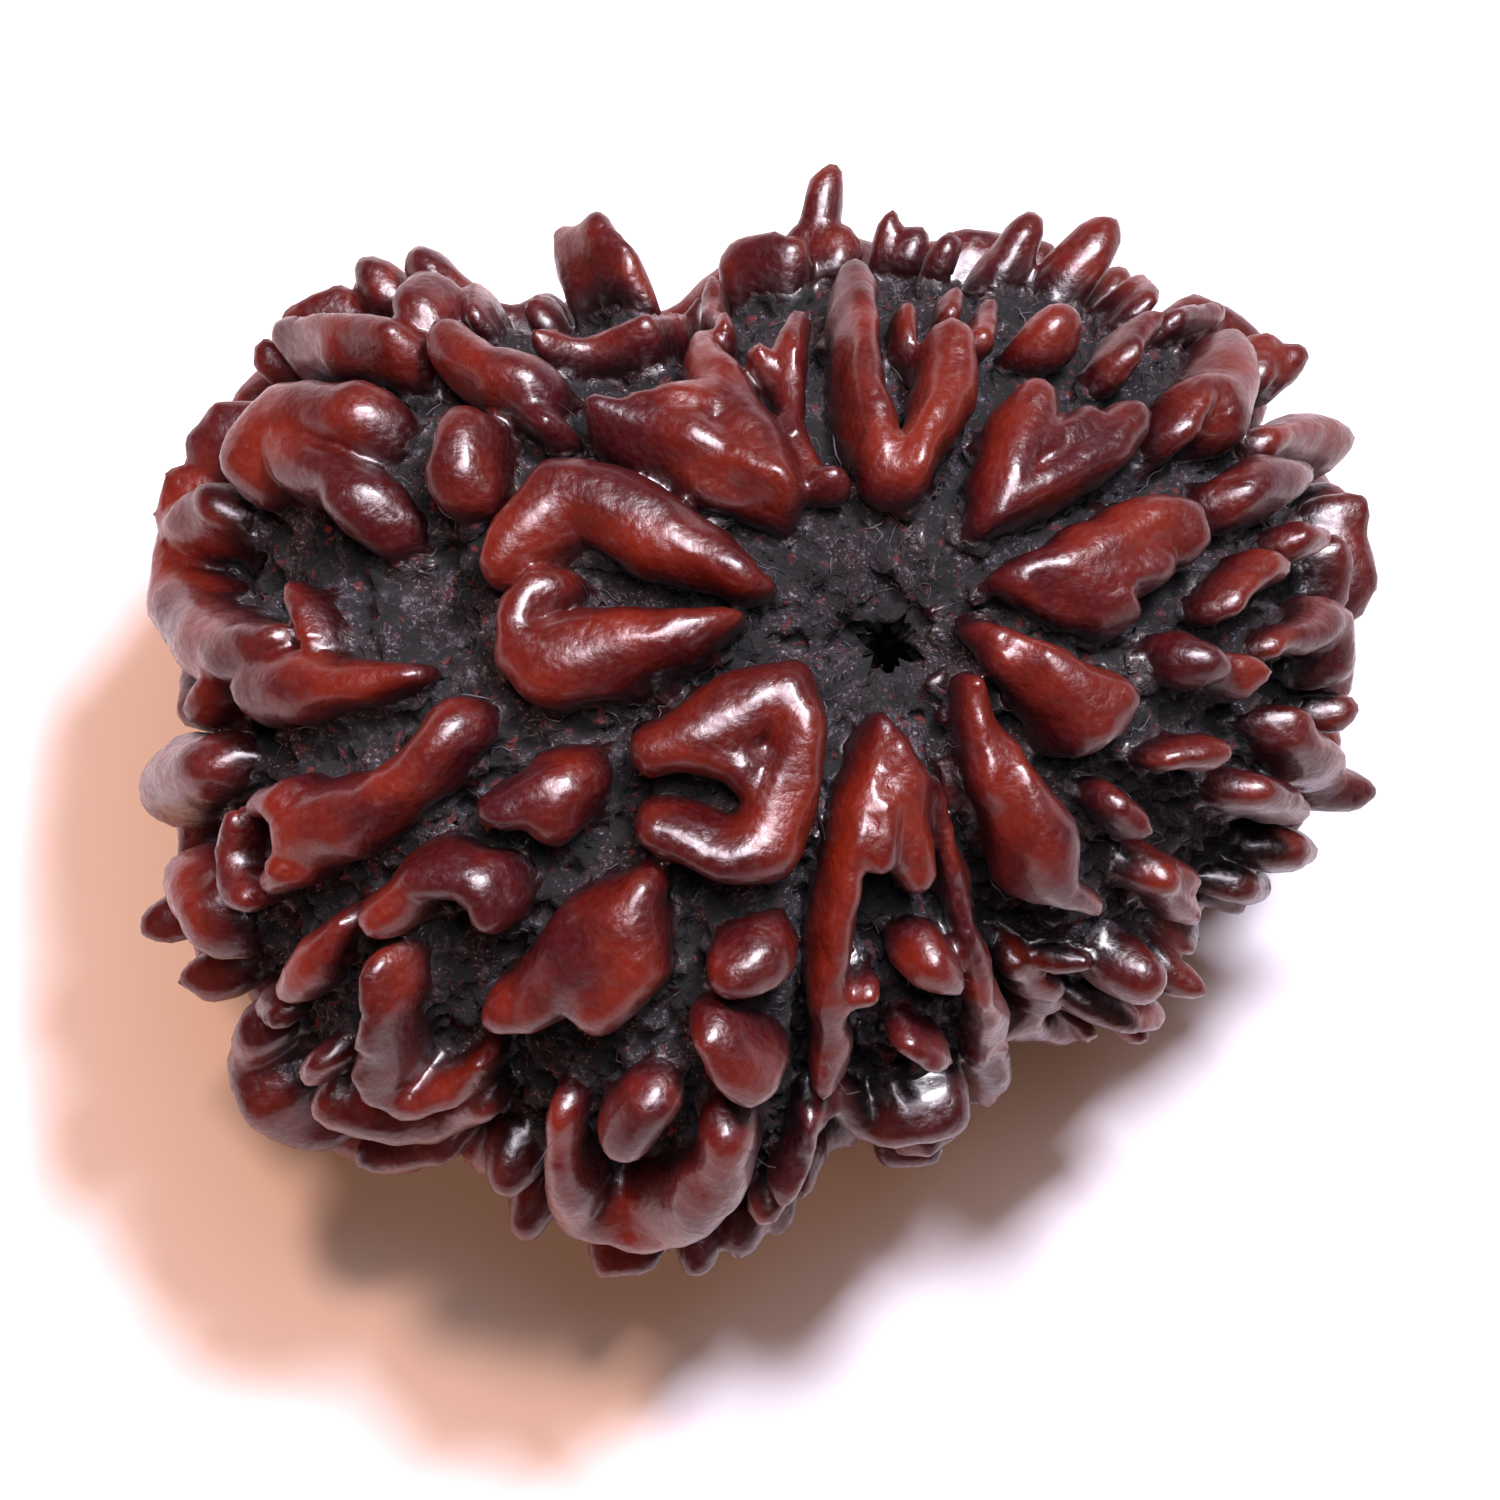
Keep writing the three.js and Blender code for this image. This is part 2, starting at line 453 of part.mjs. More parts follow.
// How far a place is from a link, with the link's width and height there.
function nearLink(place, link) {
  const { start, end, run, lengthSquared } = link;
  const x = place.x - start.place.x;
  const y = place.y - start.place.y;
  const z = place.z - start.place.z;
  const dot = x * run.x + y * run.y + z * run.z;
  const share = lengthSquared > 0 ? Math.min(1, Math.max(0, dot / lengthSquared)) : 0;
  const distance = Math.hypot(x - share * run.x, y - share * run.y, z - share * run.z);
  return {
    distance,
    width: start.width + share * (end.width - start.width),
    height: start.height + share * (end.height - start.height),
  };
}

// The eleven furrows as chains from the upper pole over the rim to the lower pole.
function furrowChains() {
  return FURROWS.map((course, index) => {
    const angle = radians(UNDER_FURROW_DEGREES[index]);
    const seen = course.map((point) => castPoint(point, FROM_ABOVE, 0).direction);
    const under = UNDER_FURROW_RADII.map((radius) => {
      const point = [POLE[0] + radius * Math.cos(angle), POLE[1] + radius * Math.sin(angle)];
      return castPoint(point, FROM_BELOW, 0).direction;
    });
    return links([...seen, ...under].map((direction) => (
      { place: onCrest(direction), width: FURROW_HALF_WIDTH, height: FURROW_DEPTH }
    )));
  });
}

const RUN_FACTOR = 1664525;
const RUN_STEP = 1013904223;

// A repeatable run of numbers from 0 to 1.
function numberRun(seed) {
  let state = seed;
  return () => {
    state = (Math.imul(state, RUN_FACTOR) + RUN_STEP) >>> 0;
    return state / 2 ** 32;
  };
}

const between = ([low, high], share) => low + (high - low) * share;

// Wedges in a ring round the lower pole, one between each two furrows, with their tips inwards.
function wedgeChains(draw) {
  return UNDER_FURROW_DEGREES.map((degrees, index) => {
    const next = UNDER_FURROW_DEGREES[(index + 1) % UNDER_FURROW_DEGREES.length];
    const spread = radians(((degrees - next + 720) % 360) / 2);
    const angle = radians(degrees) - spread * (1 + between(WEDGE_TURN, draw()));
    const reach = between(WEDGE_REACH, draw());
    const tallness = between(HIDDEN_HEIGHT_SHARES, draw());
    const knots = WEDGE_RADII.map((radius, step) => {
      const out = step === 0 ? radius : radius * reach;
      const room = out * Math.sin(spread) - WEDGE_FURROW_GAP;
      const width = Math.max(WEDGE_WIDTHS[0], Math.min(WEDGE_WIDTHS[step], room));
      const point = [POLE[0] + out * Math.cos(angle), POLE[1] + out * Math.sin(angle)];
      return lobeKnot(castPoint(point, FROM_BELOW, READ_HEIGHT).direction, width, tallness);
    });
    return links(knots);
  });
}

// A lobe thrown at random: three knots in a bent row, and perhaps an arm from the middle one.
function thrownLobe(size, draw) {
  const height = 2 * draw() - 1;
  const turn = 2 * Math.PI * draw();
  const flat = Math.sqrt(1 - height * height);
  const first = new THREE.Vector3(flat * Math.cos(turn), flat * Math.sin(turn), height);
  const pole = new THREE.Vector3(0, 0, 1);
  const step = (from, heading, length) => {
    const east = new THREE.Vector3().crossVectors(pole, from).normalize();
    const north = new THREE.Vector3().crossVectors(from, east);
    return onCrest(from)
      .addScaledVector(east, length * Math.cos(heading))
      .addScaledVector(north, length * Math.sin(heading))
      .normalize();
  };
  const heading = 2 * Math.PI * draw();
  const second = step(first, heading, between(size.step, draw()));
  const third = step(second, heading + THROW_TURN * (draw() - 0.5), between(size.step, draw()));
  const side = draw() < 0.5 ? 1 : -1;
  const arm = step(second, heading + side * between(ARM_TURNS, draw()), between(size.step, draw()));
  const widths = [draw(), draw(), draw(), draw()].map((share) => between(size.width, share));
  const tallness = between(HIDDEN_HEIGHT_SHARES, draw());
  const knots = [first, second, third, arm].map((at, index) => lobeKnot(at, widths[index], tallness));
  return draw() < ARM_SHARE ? knots : knots.slice(0, 3);
}

// Lobes of the hidden side, in the order thrown.
function hiddenChains(placed, furrows, draw) {
  const kept = [...placed];
  const found = [];
  const hidden = (knot) => facing(knot.place.clone().normalize()) < HIDDEN_LIMIT;
  const clear = (knot) => (
    kept.every((link) => {
      const near = nearLink(knot.place, link);
      return near.distance > near.width + knot.width + LOBE_GAP;
    })
    && furrows.every((link) => nearLink(knot.place, link).distance > knot.width + LOBE_GAP)
  );
  for (const size of THROWS) {
    for (let go = 0; go < size.tries; go += 1) {
      const knots = thrownLobe(size, draw);
      if (knots.every((knot) => hidden(knot) && clear(knot))) {
        const row = links(knots.slice(0, 3));
        const arm = knots.length > 3 ? links([knots[1], knots[3]]) : [];
        kept.push(...row, ...arm);
        found.push(...(arm.length > 0 ? [row, arm] : [row]));
      }
    }
  }
  return found;
}

// Everything that stands on the valley floor or is sunk in it.
function seedRelief() {
  const draw = numberRun(THROW_SEED);
  const furrows = furrowChains().flat();
  const placed = [...SEEN_LOBES.map((lobe) => seenLobe(lobe, draw)), ...wedgeChains(draw)];
  const chains = [...placed, ...hiddenChains(placed.flat(), furrows, draw)];
  const hollows = HOLLOWS.flatMap((hollow) => links(hollow.map((point) => {
    const { direction } = castPoint(point, FROM_ABOVE, 0);
    return { place: onCrest(direction), width: 2 * point[2], height: HOLLOW_DEPTH_SHARE * point[2] };
  })));
  const pits = [1, -1].flatMap((side) => {
    const place = onCrest(new THREE.Vector3(POLE[0], POLE[1], side * TOP_HALF_HEIGHT).normalize());
    return links([{ place, width: PIT_RADIUS, height: PIT_DEPTH }]);
  });
  return { chains, lobes: chains.flat(), sunk: [...furrows, ...hollows, ...pits] };
}

const lobeShape = (share) => (share < 1 ? (1 - share ** SIDE_POWER) ** SIDE_ROOT : 0);
const sunkShape = (share) => (share < 1 ? (1 - share * share) ** 2 : 0);

function reliefHeight(place, parts, shape) {
  let most = 0;
  for (const link of parts) {
    const near = nearLink(place, link);
    most = Math.max(most, near.height * shape(near.distance / near.width));
  }
  return most;
}

// A point of the seed's surface along a unit direction, flat where it rests.
function surfacePoint(direction, relief) {
  const body = bodyRadius(direction);
  const place = direction.clone().multiplyScalar(body + CREST_HEIGHT);
  const raised = reliefHeight(place, relief.lobes, lobeShape);
  const sunk = reliefHeight(place, relief.sunk, sunkShape);
  const point = direction.clone().multiplyScalar(body + raised - sunk);
  if (point.z < -REST_DEPTH) {
    point.multiplyScalar(REST_DEPTH / -point.z);
    point.z = -REST_DEPTH;
  }
  return point;
}

// Directions spread evenly over a sphere along a spiral.
function spiralDirections(count) {
  const turn = Math.PI * (3 - Math.sqrt(5));
  return Array.from({ length: count }, (_, index) => {
    const height = 1 - (2 * index + 1) / count;
    const flat = Math.sqrt(1 - height * height);
    return new THREE.Vector3(flat * Math.cos(turn * index), flat * Math.sin(turn * index), height);
  });
}

// Triangles between neighbouring directions, each as three places in the list.
function directionTriangles(directions) {
  const places = new Map(directions.map((direction, index) => [direction, index]));
  const hull = new ConvexHull().setFromPoints(directions);
  return hull.faces.map((face) => [0, 1, 2].map((step) => places.get(face.getEdge(step).head().point)));
}

// Samples sorted into boxes, so that those near a triangle are found quickly.
function sortSamples(samples) {
  const boxes = new Map();
  samples.forEach((sample) => {
    const key = sample.direction.toArray().map((value) => Math.floor(value / CELL)).join();
    boxes.set(key, [...(boxes.get(key) ?? []), sample]);
  });
  return boxes;
}

function samplesNear(corners, boxes) {
  const box = new THREE.Box3().setFromPoints(corners).expandByScalar(CELL_MARGIN);
  const [low, high] = [box.min, box.max].map((end) => end.toArray().map((v) => Math.floor(v / CELL)));
  const found = [];
  for (let x = low[0]; x <= high[0]; x += 1) {
    for (let y = low[1]; y <= high[1]; y += 1) {
      for (let z = low[2]; z <= high[2]; z += 1) {
        found.push(...(boxes.get([x, y, z].join()) ?? []));
      }
    }
  }
  return found;
}

// The sample inside a triangle that lies furthest from its flat face.
function worstSample(corners, points, boxes) {
  const [a, b, c] = corners;
  const walls = [[a, b], [b, c], [c, a]].map(([from, to]) => new THREE.Vector3().crossVectors(from, to));
  const face = new THREE.Plane().setFromCoplanarPoints(...points);
  let worst = { error: 0 };
  for (const sample of samplesNear(corners, boxes)) {
    const error = Math.abs(face.distanceToPoint(sample.point));
    if (error > worst.error && walls.every((wall) => wall.dot(sample.direction) > 0)) {
      worst = { error, sample };
    }
  }
  return worst;
}

// Directions across a lobe at one place along it, on both sides at a share of its width.
function rowDirections(place, along, width, share) {
  const out = place.clone().normalize();
  const across = new THREE.Vector3().crossVectors(out, along).normalize();
  const sides = share > 0 ? [-1, 1] : [0];
  return sides.map((side) => place.clone().addScaledVector(across, side * share * width).normalize());
}

// Directions round the free end of a lobe.
function capDirections(place, along, width, share) {
  const out = place.clone().normalize();
  return CAP_DEGREES.map((degrees) => {
    const heading = along.clone().applyAxisAngle(out, radians(degrees)).setLength(share * width);
    return place.clone().add(heading).normalize();
  });
}

// One row of directions along a whole lobe, closed round its two ends.
function lobeRow(chain, row) {
  const found = [];
  const first = chain[0];
  const last = chain[chain.length - 1];
  const sideways = new THREE.Vector3(0, 1, 0).cross(first.start.place).normalize();
  const heading = (link) => (link.lengthSquared > 0 ? link.run.clone().normalize() : sideways);
  for (const link of chain) {
    const steps = Math.max(1, Math.round(Math.sqrt(link.lengthSquared) / ROW_STEP));
    for (let step = link === first ? 0 : 1; step <= steps; step += 1) {
      const place = link.start.place.clone().addScaledVector(link.run, step / steps);
      const near = nearLink(place, link);
      found.push(...rowDirections(place, heading(link), near.width, row.share));
    }
  }
  if (row.share > 0) {
    found.push(...capDirections(last.end.place, heading(last), last.end.width, row.share));
    const back = heading(first).clone().negate();
    found.push(...capDirections(first.start.place, back, first.start.width, row.share));
  }
  return found;
}

// Corners along every lobe, kept where they belong to it and stand clear of those before them.
function lobeCorners(relief) {
  const corners = [];
  for (const row of ROWS) {
    const kept = [];
    for (const chain of relief.chains) {
      const widest = Math.max(...chain.map((link) => Math.max(link.start.width, link.end.width)));
      if (widest < row.narrowest) {
        continue;
      }
      for (const direction of lobeRow(chain, row)) {
        const place = onCrest(direction);
        const raised = reliefHeight(place, relief.lobes, lobeShape);
        const own = reliefHeight(place, chain, lobeShape);
        const belongs = row.share > 1 ? raised < FOOT_RAISED : own >= OWN_SHARE * raised;
        const free = (others, apart) => others.every((other) => other.distanceTo(place) > apart);
        if (belongs && free(kept, row.apart) && free(corners, ROWS_APART)) {
          kept.push(place);
        }
      }
    }
    corners.push(...kept);
  }
  for (const direction of spiralDirections(FILL_DIRECTIONS)) {
    const place = onCrest(direction);
    if (corners.every((corner) => corner.distanceTo(place) > FILL_APART)) {
      corners.push(place);
    }
  }
  return corners.map((place) => place.normalize());
}

// The seed's outside: rows along the lobes, then corners where the faces miss it most.
function seedSurface() {
  const relief = seedRelief();
  const sampled = (direction) => ({ direction, point: surfacePoint(direction, relief) });
  const boxes = sortSamples(spiralDirections(SAMPLES).map(sampled));
  const corners = lobeCorners(relief).map(sampled);
  let triangles = directionTriangles(corners.map((corner) => corner.direction));
  while (corners.length < CORNERS) {
    const room = Math.min(CORNERS, Math.ceil(corners.length * GROWTH)) - corners.length;
    const worst = triangles
      .map((triangle) => triangle.map((index) => corners[index]))
      .map((three) => worstSample(three.map((c) => c.direction), three.map((c) => c.point), boxes))
      .filter((found) => found.sample)
      .sort((one, other) => other.error - one.error)
      .slice(0, room);
    worst.forEach((found) => corners.push(found.sample));
    triangles = directionTriangles(corners.map((corner) => corner.direction));
  }
  const geometry = new THREE.BufferGeometry().setFromPoints(corners.map((corner) => corner.point));
  return geometry.setIndex(triangles.flat());
}

const manifold = await Module();
manifold.setup();

function toSolid(geometry) {
  const bare = geometry.clone();
  bare.deleteAttribute('normal');
  bare.deleteAttribute('uv');
  const merged = mergeVertices(bare);
  return new manifold.Manifold(new manifold.Mesh({
    numProp: 3,
    vertProperties: Float32Array.from(merged.attributes.position.array),
    triVerts: Uint32Array.from(merged.index.array),
  }));
}

function toGeometry(solid) {
  const mesh = solid.getMesh();
  const geometry = new THREE.BufferGeometry();
  geometry.setAttribute('position', new THREE.BufferAttribute(mesh.vertProperties, 3));
  geometry.setIndex(new THREE.BufferAttribute(mesh.triVerts, 1));
  return geometry;
}

function threadHole() {
  const hole = new THREE.CylinderGeometry(HOLE_RADIUS, HOLE_RADIUS, HOLE_LENGTH, HOLE_SIDES);
  return hole.rotateX(Math.PI / 2).translate(POLE[0], POLE[1], 0);
}

function waxyStone() {
  return new THREE.MeshStandardMaterial({ color: 0x6e2018, roughness: 0.32, metalness: 0 });
}

function rudrakshaBead() {
  const pierced = toSolid(seedSurface()).subtract(toSolid(threadHole()));
  const geometry = toGeometry(pierced).translate(-MIDDLE_X, -MIDDLE_Y, REST_DEPTH);
  geometry.computeVertexNormals();
  const bead = new THREE.Mesh(geometry, waxyStone());
  bead.name = 'rudraksha_bead';
  return bead;
}

const seed = new THREE.Group();
seed.add(rudrakshaBead());

export default seed;
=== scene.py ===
"""Eleven mukhi rudraksha: the finished look of the whole seed stone, on a plain pale floor.

The stone is one grown piece. Its form is worked out in millimetres from the seed's middle, as the
frame's solid is, and the finished meshes are in metres in the frame's own axes: +Z up along the
thread hole, and the origin under the seed on the surface that it rests on.
"""

import logging
import math
from dataclasses import dataclass, field
from enum import Enum

import bpy
import numpy as np
from mathutils import Matrix, Vector, noise
from mathutils.bvhtree import BVHTree


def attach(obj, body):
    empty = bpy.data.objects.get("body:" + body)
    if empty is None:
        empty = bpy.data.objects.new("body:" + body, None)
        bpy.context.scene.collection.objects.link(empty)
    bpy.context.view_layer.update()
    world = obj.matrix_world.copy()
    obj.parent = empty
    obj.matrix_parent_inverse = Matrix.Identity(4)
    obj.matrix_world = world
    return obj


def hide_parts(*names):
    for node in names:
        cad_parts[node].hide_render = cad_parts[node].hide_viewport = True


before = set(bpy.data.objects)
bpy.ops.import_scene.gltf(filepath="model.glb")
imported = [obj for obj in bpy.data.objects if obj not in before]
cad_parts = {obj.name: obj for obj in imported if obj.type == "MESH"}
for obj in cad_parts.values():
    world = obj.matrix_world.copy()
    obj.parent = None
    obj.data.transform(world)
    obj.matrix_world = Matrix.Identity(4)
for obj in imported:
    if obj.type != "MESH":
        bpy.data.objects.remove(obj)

LOG = logging.getLogger("rudraksha")
MM = 0.001
NODE = "rudraksha_bead"
BODY = "root"

# The valley floor's radius in plan, by direction: (degrees from +X, millimetres).
OUTLINE = (
    (0, 10.3), (12, 10.8), (24, 11.1), (36, 11), (48, 10.1), (60, 9.4), (75, 8.5), (88, 7.9),
    (96, 7.3), (103, 6.8), (110, 8.2), (121, 8), (130, 9.9), (141, 10.7), (155, 10.9), (170, 10.4),
    (188, 10.4), (203, 10.9), (212, 10.6), (220, 11), (229, 10.2), (236, 9.1), (243, 9.4),
    (250, 9.6), (263, 9.6), (274, 8.5), (280, 7.3), (287, 7.8), (295, 7.9), (304, 7.2), (313, 6.9),
    (321, 8.4), (335, 8.4), (346, 9.5),
)

# Lobes of the seen face, read off. Each lobe runs through points of (right, up, half
# width) in millimetres from the seed's middle, as the camera sees them.
POLAR_LOBES = (
    (
        (0.1, 2.54, 0.2), (-0.4, 2.76, 0.4), (-1.2, 3.18, 0.68), (-2.2, 3.76, 0.84), (-3.24, 4.3, 0.8),
        (-3.96, 4.46, 0.68), (-4.54, 3.7, 0.68), (-5.04, 3.02, 0.44),
    ),
    ((-4.64, 2.06, 0.48), (-4.36, 2.42, 0.44), (-4.04, 2.5, 0.34)),
    (
        (-0.44, 1.96, 0.18), (-1.2, 1.76, 0.4), (-2.2, 1.44, 0.68), (-3.2, 1.2, 0.86), (-4.1, 1.1, 0.88),
        (-4.64, 1.26, 0.64), (-4.76, 1.74, 0.48),
    ),
    ((-1.24, 7.26, 0.32), (-1, 6.6, 0.6), (-0.44, 5.6, 0.8), (0.16, 4.66, 0.68)),
    ((-3.1, 5.8, 0.4), (-2.2, 5.5, 0.56), (-1.1, 5.04, 0.68), (-0.2, 4.6, 0.68), (0.4, 4.34, 0.4)),
    ((-2.2, 5.8, 0.4), (-1.4, 5.9, 0.6), (-0.96, 6, 0.68)),
    ((1.86, 8.6, 0.36), (1.96, 7.5, 0.42), (2.04, 6.3, 0.44), (2.3, 5.3, 0.4), (2.66, 4.7, 0.4)),
    ((3.68, 7.06, 0.52), (3.72, 6.6, 0.54), (3.52, 5.9, 0.46), (3.16, 5.2, 0.38), (2.76, 4.7, 0.36)),
    ((4.5, 8.1, 0.2), (4.3, 7.4, 0.24)),
    (
        (0.74, 7.8, 0.24), (0.46, 7.1, 0.32), (0.64, 6.1, 0.26), (0.96, 5.2, 0.22), (1.24, 4.6, 0.28),
        (1.66, 4.54, 0.2),
    ),
    ((0.04, 7, 0.3), (0.4, 6.86, 0.24)),
    ((4.5, 3.8, 0.24), (4.76, 4.5, 0.4), (5.04, 5.3, 0.48), (5.4, 6.06, 0.48)),
    ((4.6, 3.9, 0.28), (5.3, 4.34, 0.32), (6.2, 4.8, 0.4), (6.9, 5.3, 0.48), (7.16, 5.74, 0.4)),
    ((5.5, 5.14, 0.34), (6, 5.5, 0.32), (6.5, 5.7, 0.28)),
    (
        (4.9, 2.6, 0.2), (5.6, 2.9, 0.48), (6.6, 3.24, 0.56), (7.6, 3.7, 0.56), (8.16, 3.8, 0.52),
        (8.24, 3.4, 0.48),
    ),
    ((5.1, 2.54, 0.24), (6, 2.34, 0.34), (6.8, 2.1, 0.38), (7.24, 1.86, 0.32)),
    ((6, 2.74, 0.34), (6.9, 2.62, 0.4), (7.76, 2.86, 0.4)),
    ((4.5, 1.74, 0.2), (5, 1.2, 0.4), (5.7, 0.7, 0.56), (6.4, 0.2, 0.72), (6.84, 0.26, 0.64)),
    ((6.4, 0.1, 0.68), (6.3, -0.5, 0.36)),
    ((4.24, 0.6, 0.24), (4.5, -0.3, 0.36), (4.9, -1.3, 0.56), (5.5, -2.3, 0.76), (5.6, -3.3, 0.7)),
    ((5.7, -3.4, 0.56), (6.6, -3.84, 0.2)),
    ((0.56, 0.5, 0.52), (-0.3, 0.06, 0.76), (-1.2, -0.4, 0.72), (-2, -0.74, 0.48)),
    (
        (0.76, 0, 0.48), (0.7, -0.9, 0.56), (0.44, -1.7, 0.76), (0.24, -2.5, 0.76), (-0.5, -2.74, 0.6),
        (-1.36, -2.46, 0.56), (-2.1, -2.1, 0.38),
    ),
    ((-1.1, -0.6, 0.44), (-0.24, -1.06, 0.52)),
    (
        (2.34, -0.2, 0.24), (2.16, -1.3, 0.32), (1.8, -2.3, 0.38), (1.56, -3.5, 0.42), (1.36, -4.7, 0.4),
        (1.36, -5.9, 0.4), (1.34, -6.86, 0.4),
    ),
    ((2.6, -0.7, 0.4), (2.86, -1.7, 0.52), (3, -2.7, 0.5), (3.08, -3.22, 0.34)),
    ((2.44, -1.7, 0.44), (2.36, -2.7, 0.44)),
    (
        (3.5, -1.3, 0.16), (3.8, -2.1, 0.24), (3.9, -2.9, 0.3), (4.04, -4.1, 0.32), (4.3, -5.3, 0.4),
        (4.5, -6.5, 0.48), (4.5, -7.2, 0.48),
    ),
)

UPPER_LOBES = (
    ((-4.4, 7.4, 0.28), (-3.2, 7.4, 0.3), (-2.2, 7.6, 0.28), (-1.56, 7.8, 0.16)),
    ((-3.76, 9.62, 0.48), (-3.08, 9.5, 0.52), (-2.64, 9.06, 0.4)),
    ((-0.96, 8.3, 0.28), (-0.7, 7.5, 0.2)),
    ((-0.44, 8.94, 0.4), (0.6, 9.14, 0.36)),
    ((1.36, 10.66, 0.38),),
    ((1.56, 9.3, 0.52),),
    ((0.84, 9.66, 0.36),),
    ((2.66, 9.94, 0.26),),
    ((3.08, 9.44, 0.32),),
    ((3.64, 9.22, 0.3),),
    ((5.74, 7.44, 0.5),),
    ((6.44, 9.06, 0.52),),
    ((6.64, 9.4, 0.56),),
    ((5.2, 9.58, 0.46),),
    ((5.12, 9.3, 0.44),),
    ((7.4, 7.5, 0.36), (7.1, 6.9, 0.32)),
    ((7.44, 8.46, 0.3), (7.6, 8.2, 0.24)),
    ((8.24, 7.86, 0.26), (9.1, 8, 0.28)),
    ((3.9, 8.3, 0.22), (3.76, 7.94, 0.18)),
    ((2.9, 7.94, 0.2), (2.96, 7.4, 0.18)),
)

UPPER_LEFT_LOBES = (
    ((-7.6, 8.66, 0.5),),
    ((-6.7, 7.94, 0.56), (-6.48, 8.3, 0.6)),
    ((-6.28, 8.7, 0.68),),
    ((-9.2, 7.36, 0.44), (-8.2, 7.36, 0.52), (-7.2, 7.3, 0.48)),
    ((-9.2, 7.9, 0.36), (-8.2, 8.2, 0.36)),
    ((-9.8, 7.3, 0.3), (-9.96, 7, 0.24)),
    ((-9.96, 5, 0.68), (-9.5, 5.7, 0.88), (-8.7, 5.94, 0.76), (-7.84, 5.86, 0.68)),
    ((-9.2, 5.2, 0.68), (-8.4, 4.74, 0.54), (-7.88, 4.14, 0.72)),
    ((-11.14, 5.26, 0.44), (-10.5, 6.14, 0.4)),
    ((-11.54, 4.7, 0.36), (-11.84, 3.9, 0.32)),
    ((-6, 7.26, 0.56), (-5.36, 6.74, 0.46), (-4.64, 6.54, 0.66)),
    ((-5.8, 5.4, 0.64), (-5.84, 4.74, 0.68)),
    (
        (-10.8, 4.16, 0.44), (-11.3, 3.5, 0.68), (-11.44, 2.4, 0.72), (-11.14, 1.5, 0.8),
        (-10.3, 1.2, 0.64), (-9.5, 1.46, 0.32),
    ),
    ((-5.2, 6.4, 0.36), (-4.24, 5.8, 0.3)),
    ((-5.52, 8.3, 0.3), (-5.68, 7.94, 0.24)),
)

LEFT_LOBES = (
    ((-9.88, 0.5, 0.72), (-9, 0.6, 0.68), (-8.2, 0.6, 0.48), (-7.5, 0.7, 0.26), (-6.8, 0.8, 0.18)),
    ((-9.4, 2.6, 0.18), (-9.04, 2.06, 0.26), (-8.84, 1.5, 0.26)),
    ((-11.46, -1.4, 0.8), (-10.84, -1, 0.64)),
    ((-10.76, 0.74, 0.24), (-11.1, 0.1, 0.3)),
    ((-6, -0.36, 0.54), (-6.56, -1, 0.52), (-7.4, -1.64, 0.64), (-8.3, -2.06, 0.76), (-8.9, -2.26, 0.84)),
    ((-10.3, -2.06, 0.24), (-10.48, -2.7, 0.24), (-10.3, -3.4, 0.28), (-9.88, -3.54, 0.28)),
    ((-9.2, -1.7, 0.44), (-9.84, -1.82, 0.24)),
    ((-9.2, -2.94, 0.48), (-9.6, -3.3, 0.28)),
    ((-11.24, -3.14, 0.52), (-10.96, -3.8, 0.72), (-10.76, -4.3, 0.64)),
    ((-11.92, -4.1, 0.44),),
    ((-11.24, -5.4, 0.52),),
    (
        (-7.28, -3.86, 0.54), (-6.76, -3.2, 0.48), (-6.04, -3.06, 0.5), (-5.36, -3.34, 0.52),
        (-5.14, -3.9, 0.44),
    ),
    ((-4.96, -1.82, 0.5), (-4.3, -1.5, 0.76), (-3.76, -1.4, 0.68), (-4, -1.86, 0.6)),
    ((-8.24, -4.2, 0.24), (-8.76, -4.8, 0.48), (-9.14, -5.34, 0.54)),
    ((-9.4, -5.86, 0.24), (-9.76, -5.7, 0.24)),
    (
        (-7.34, -4.94, 0.32), (-7.24, -5.7, 0.34), (-7.44, -6.6, 0.4), (-7.3, -7.3, 0.48),
        (-6.6, -7.5, 0.44), (-5.9, -7.2, 0.4), (-5.4, -6.8, 0.24),
    ),
    ((-8.3, -7.74, 0.68), (-7.2, -8.06, 0.68), (-6.2, -8, 0.56), (-5.4, -7.6, 0.32)),
    ((-8.6, -6.8, 0.32), (-8.76, -7.1, 0.28)),
    ((-9.8, -6.1, 0.4), (-10.16, -6.8, 0.5), (-9.84, -7.6, 0.52), (-9.24, -8.26, 0.44), (-8.5, -8.5, 0.28)),
    ((-4.98, -8.86, 0.58),),
    ((-4.56, -9.86, 0.54),),
)

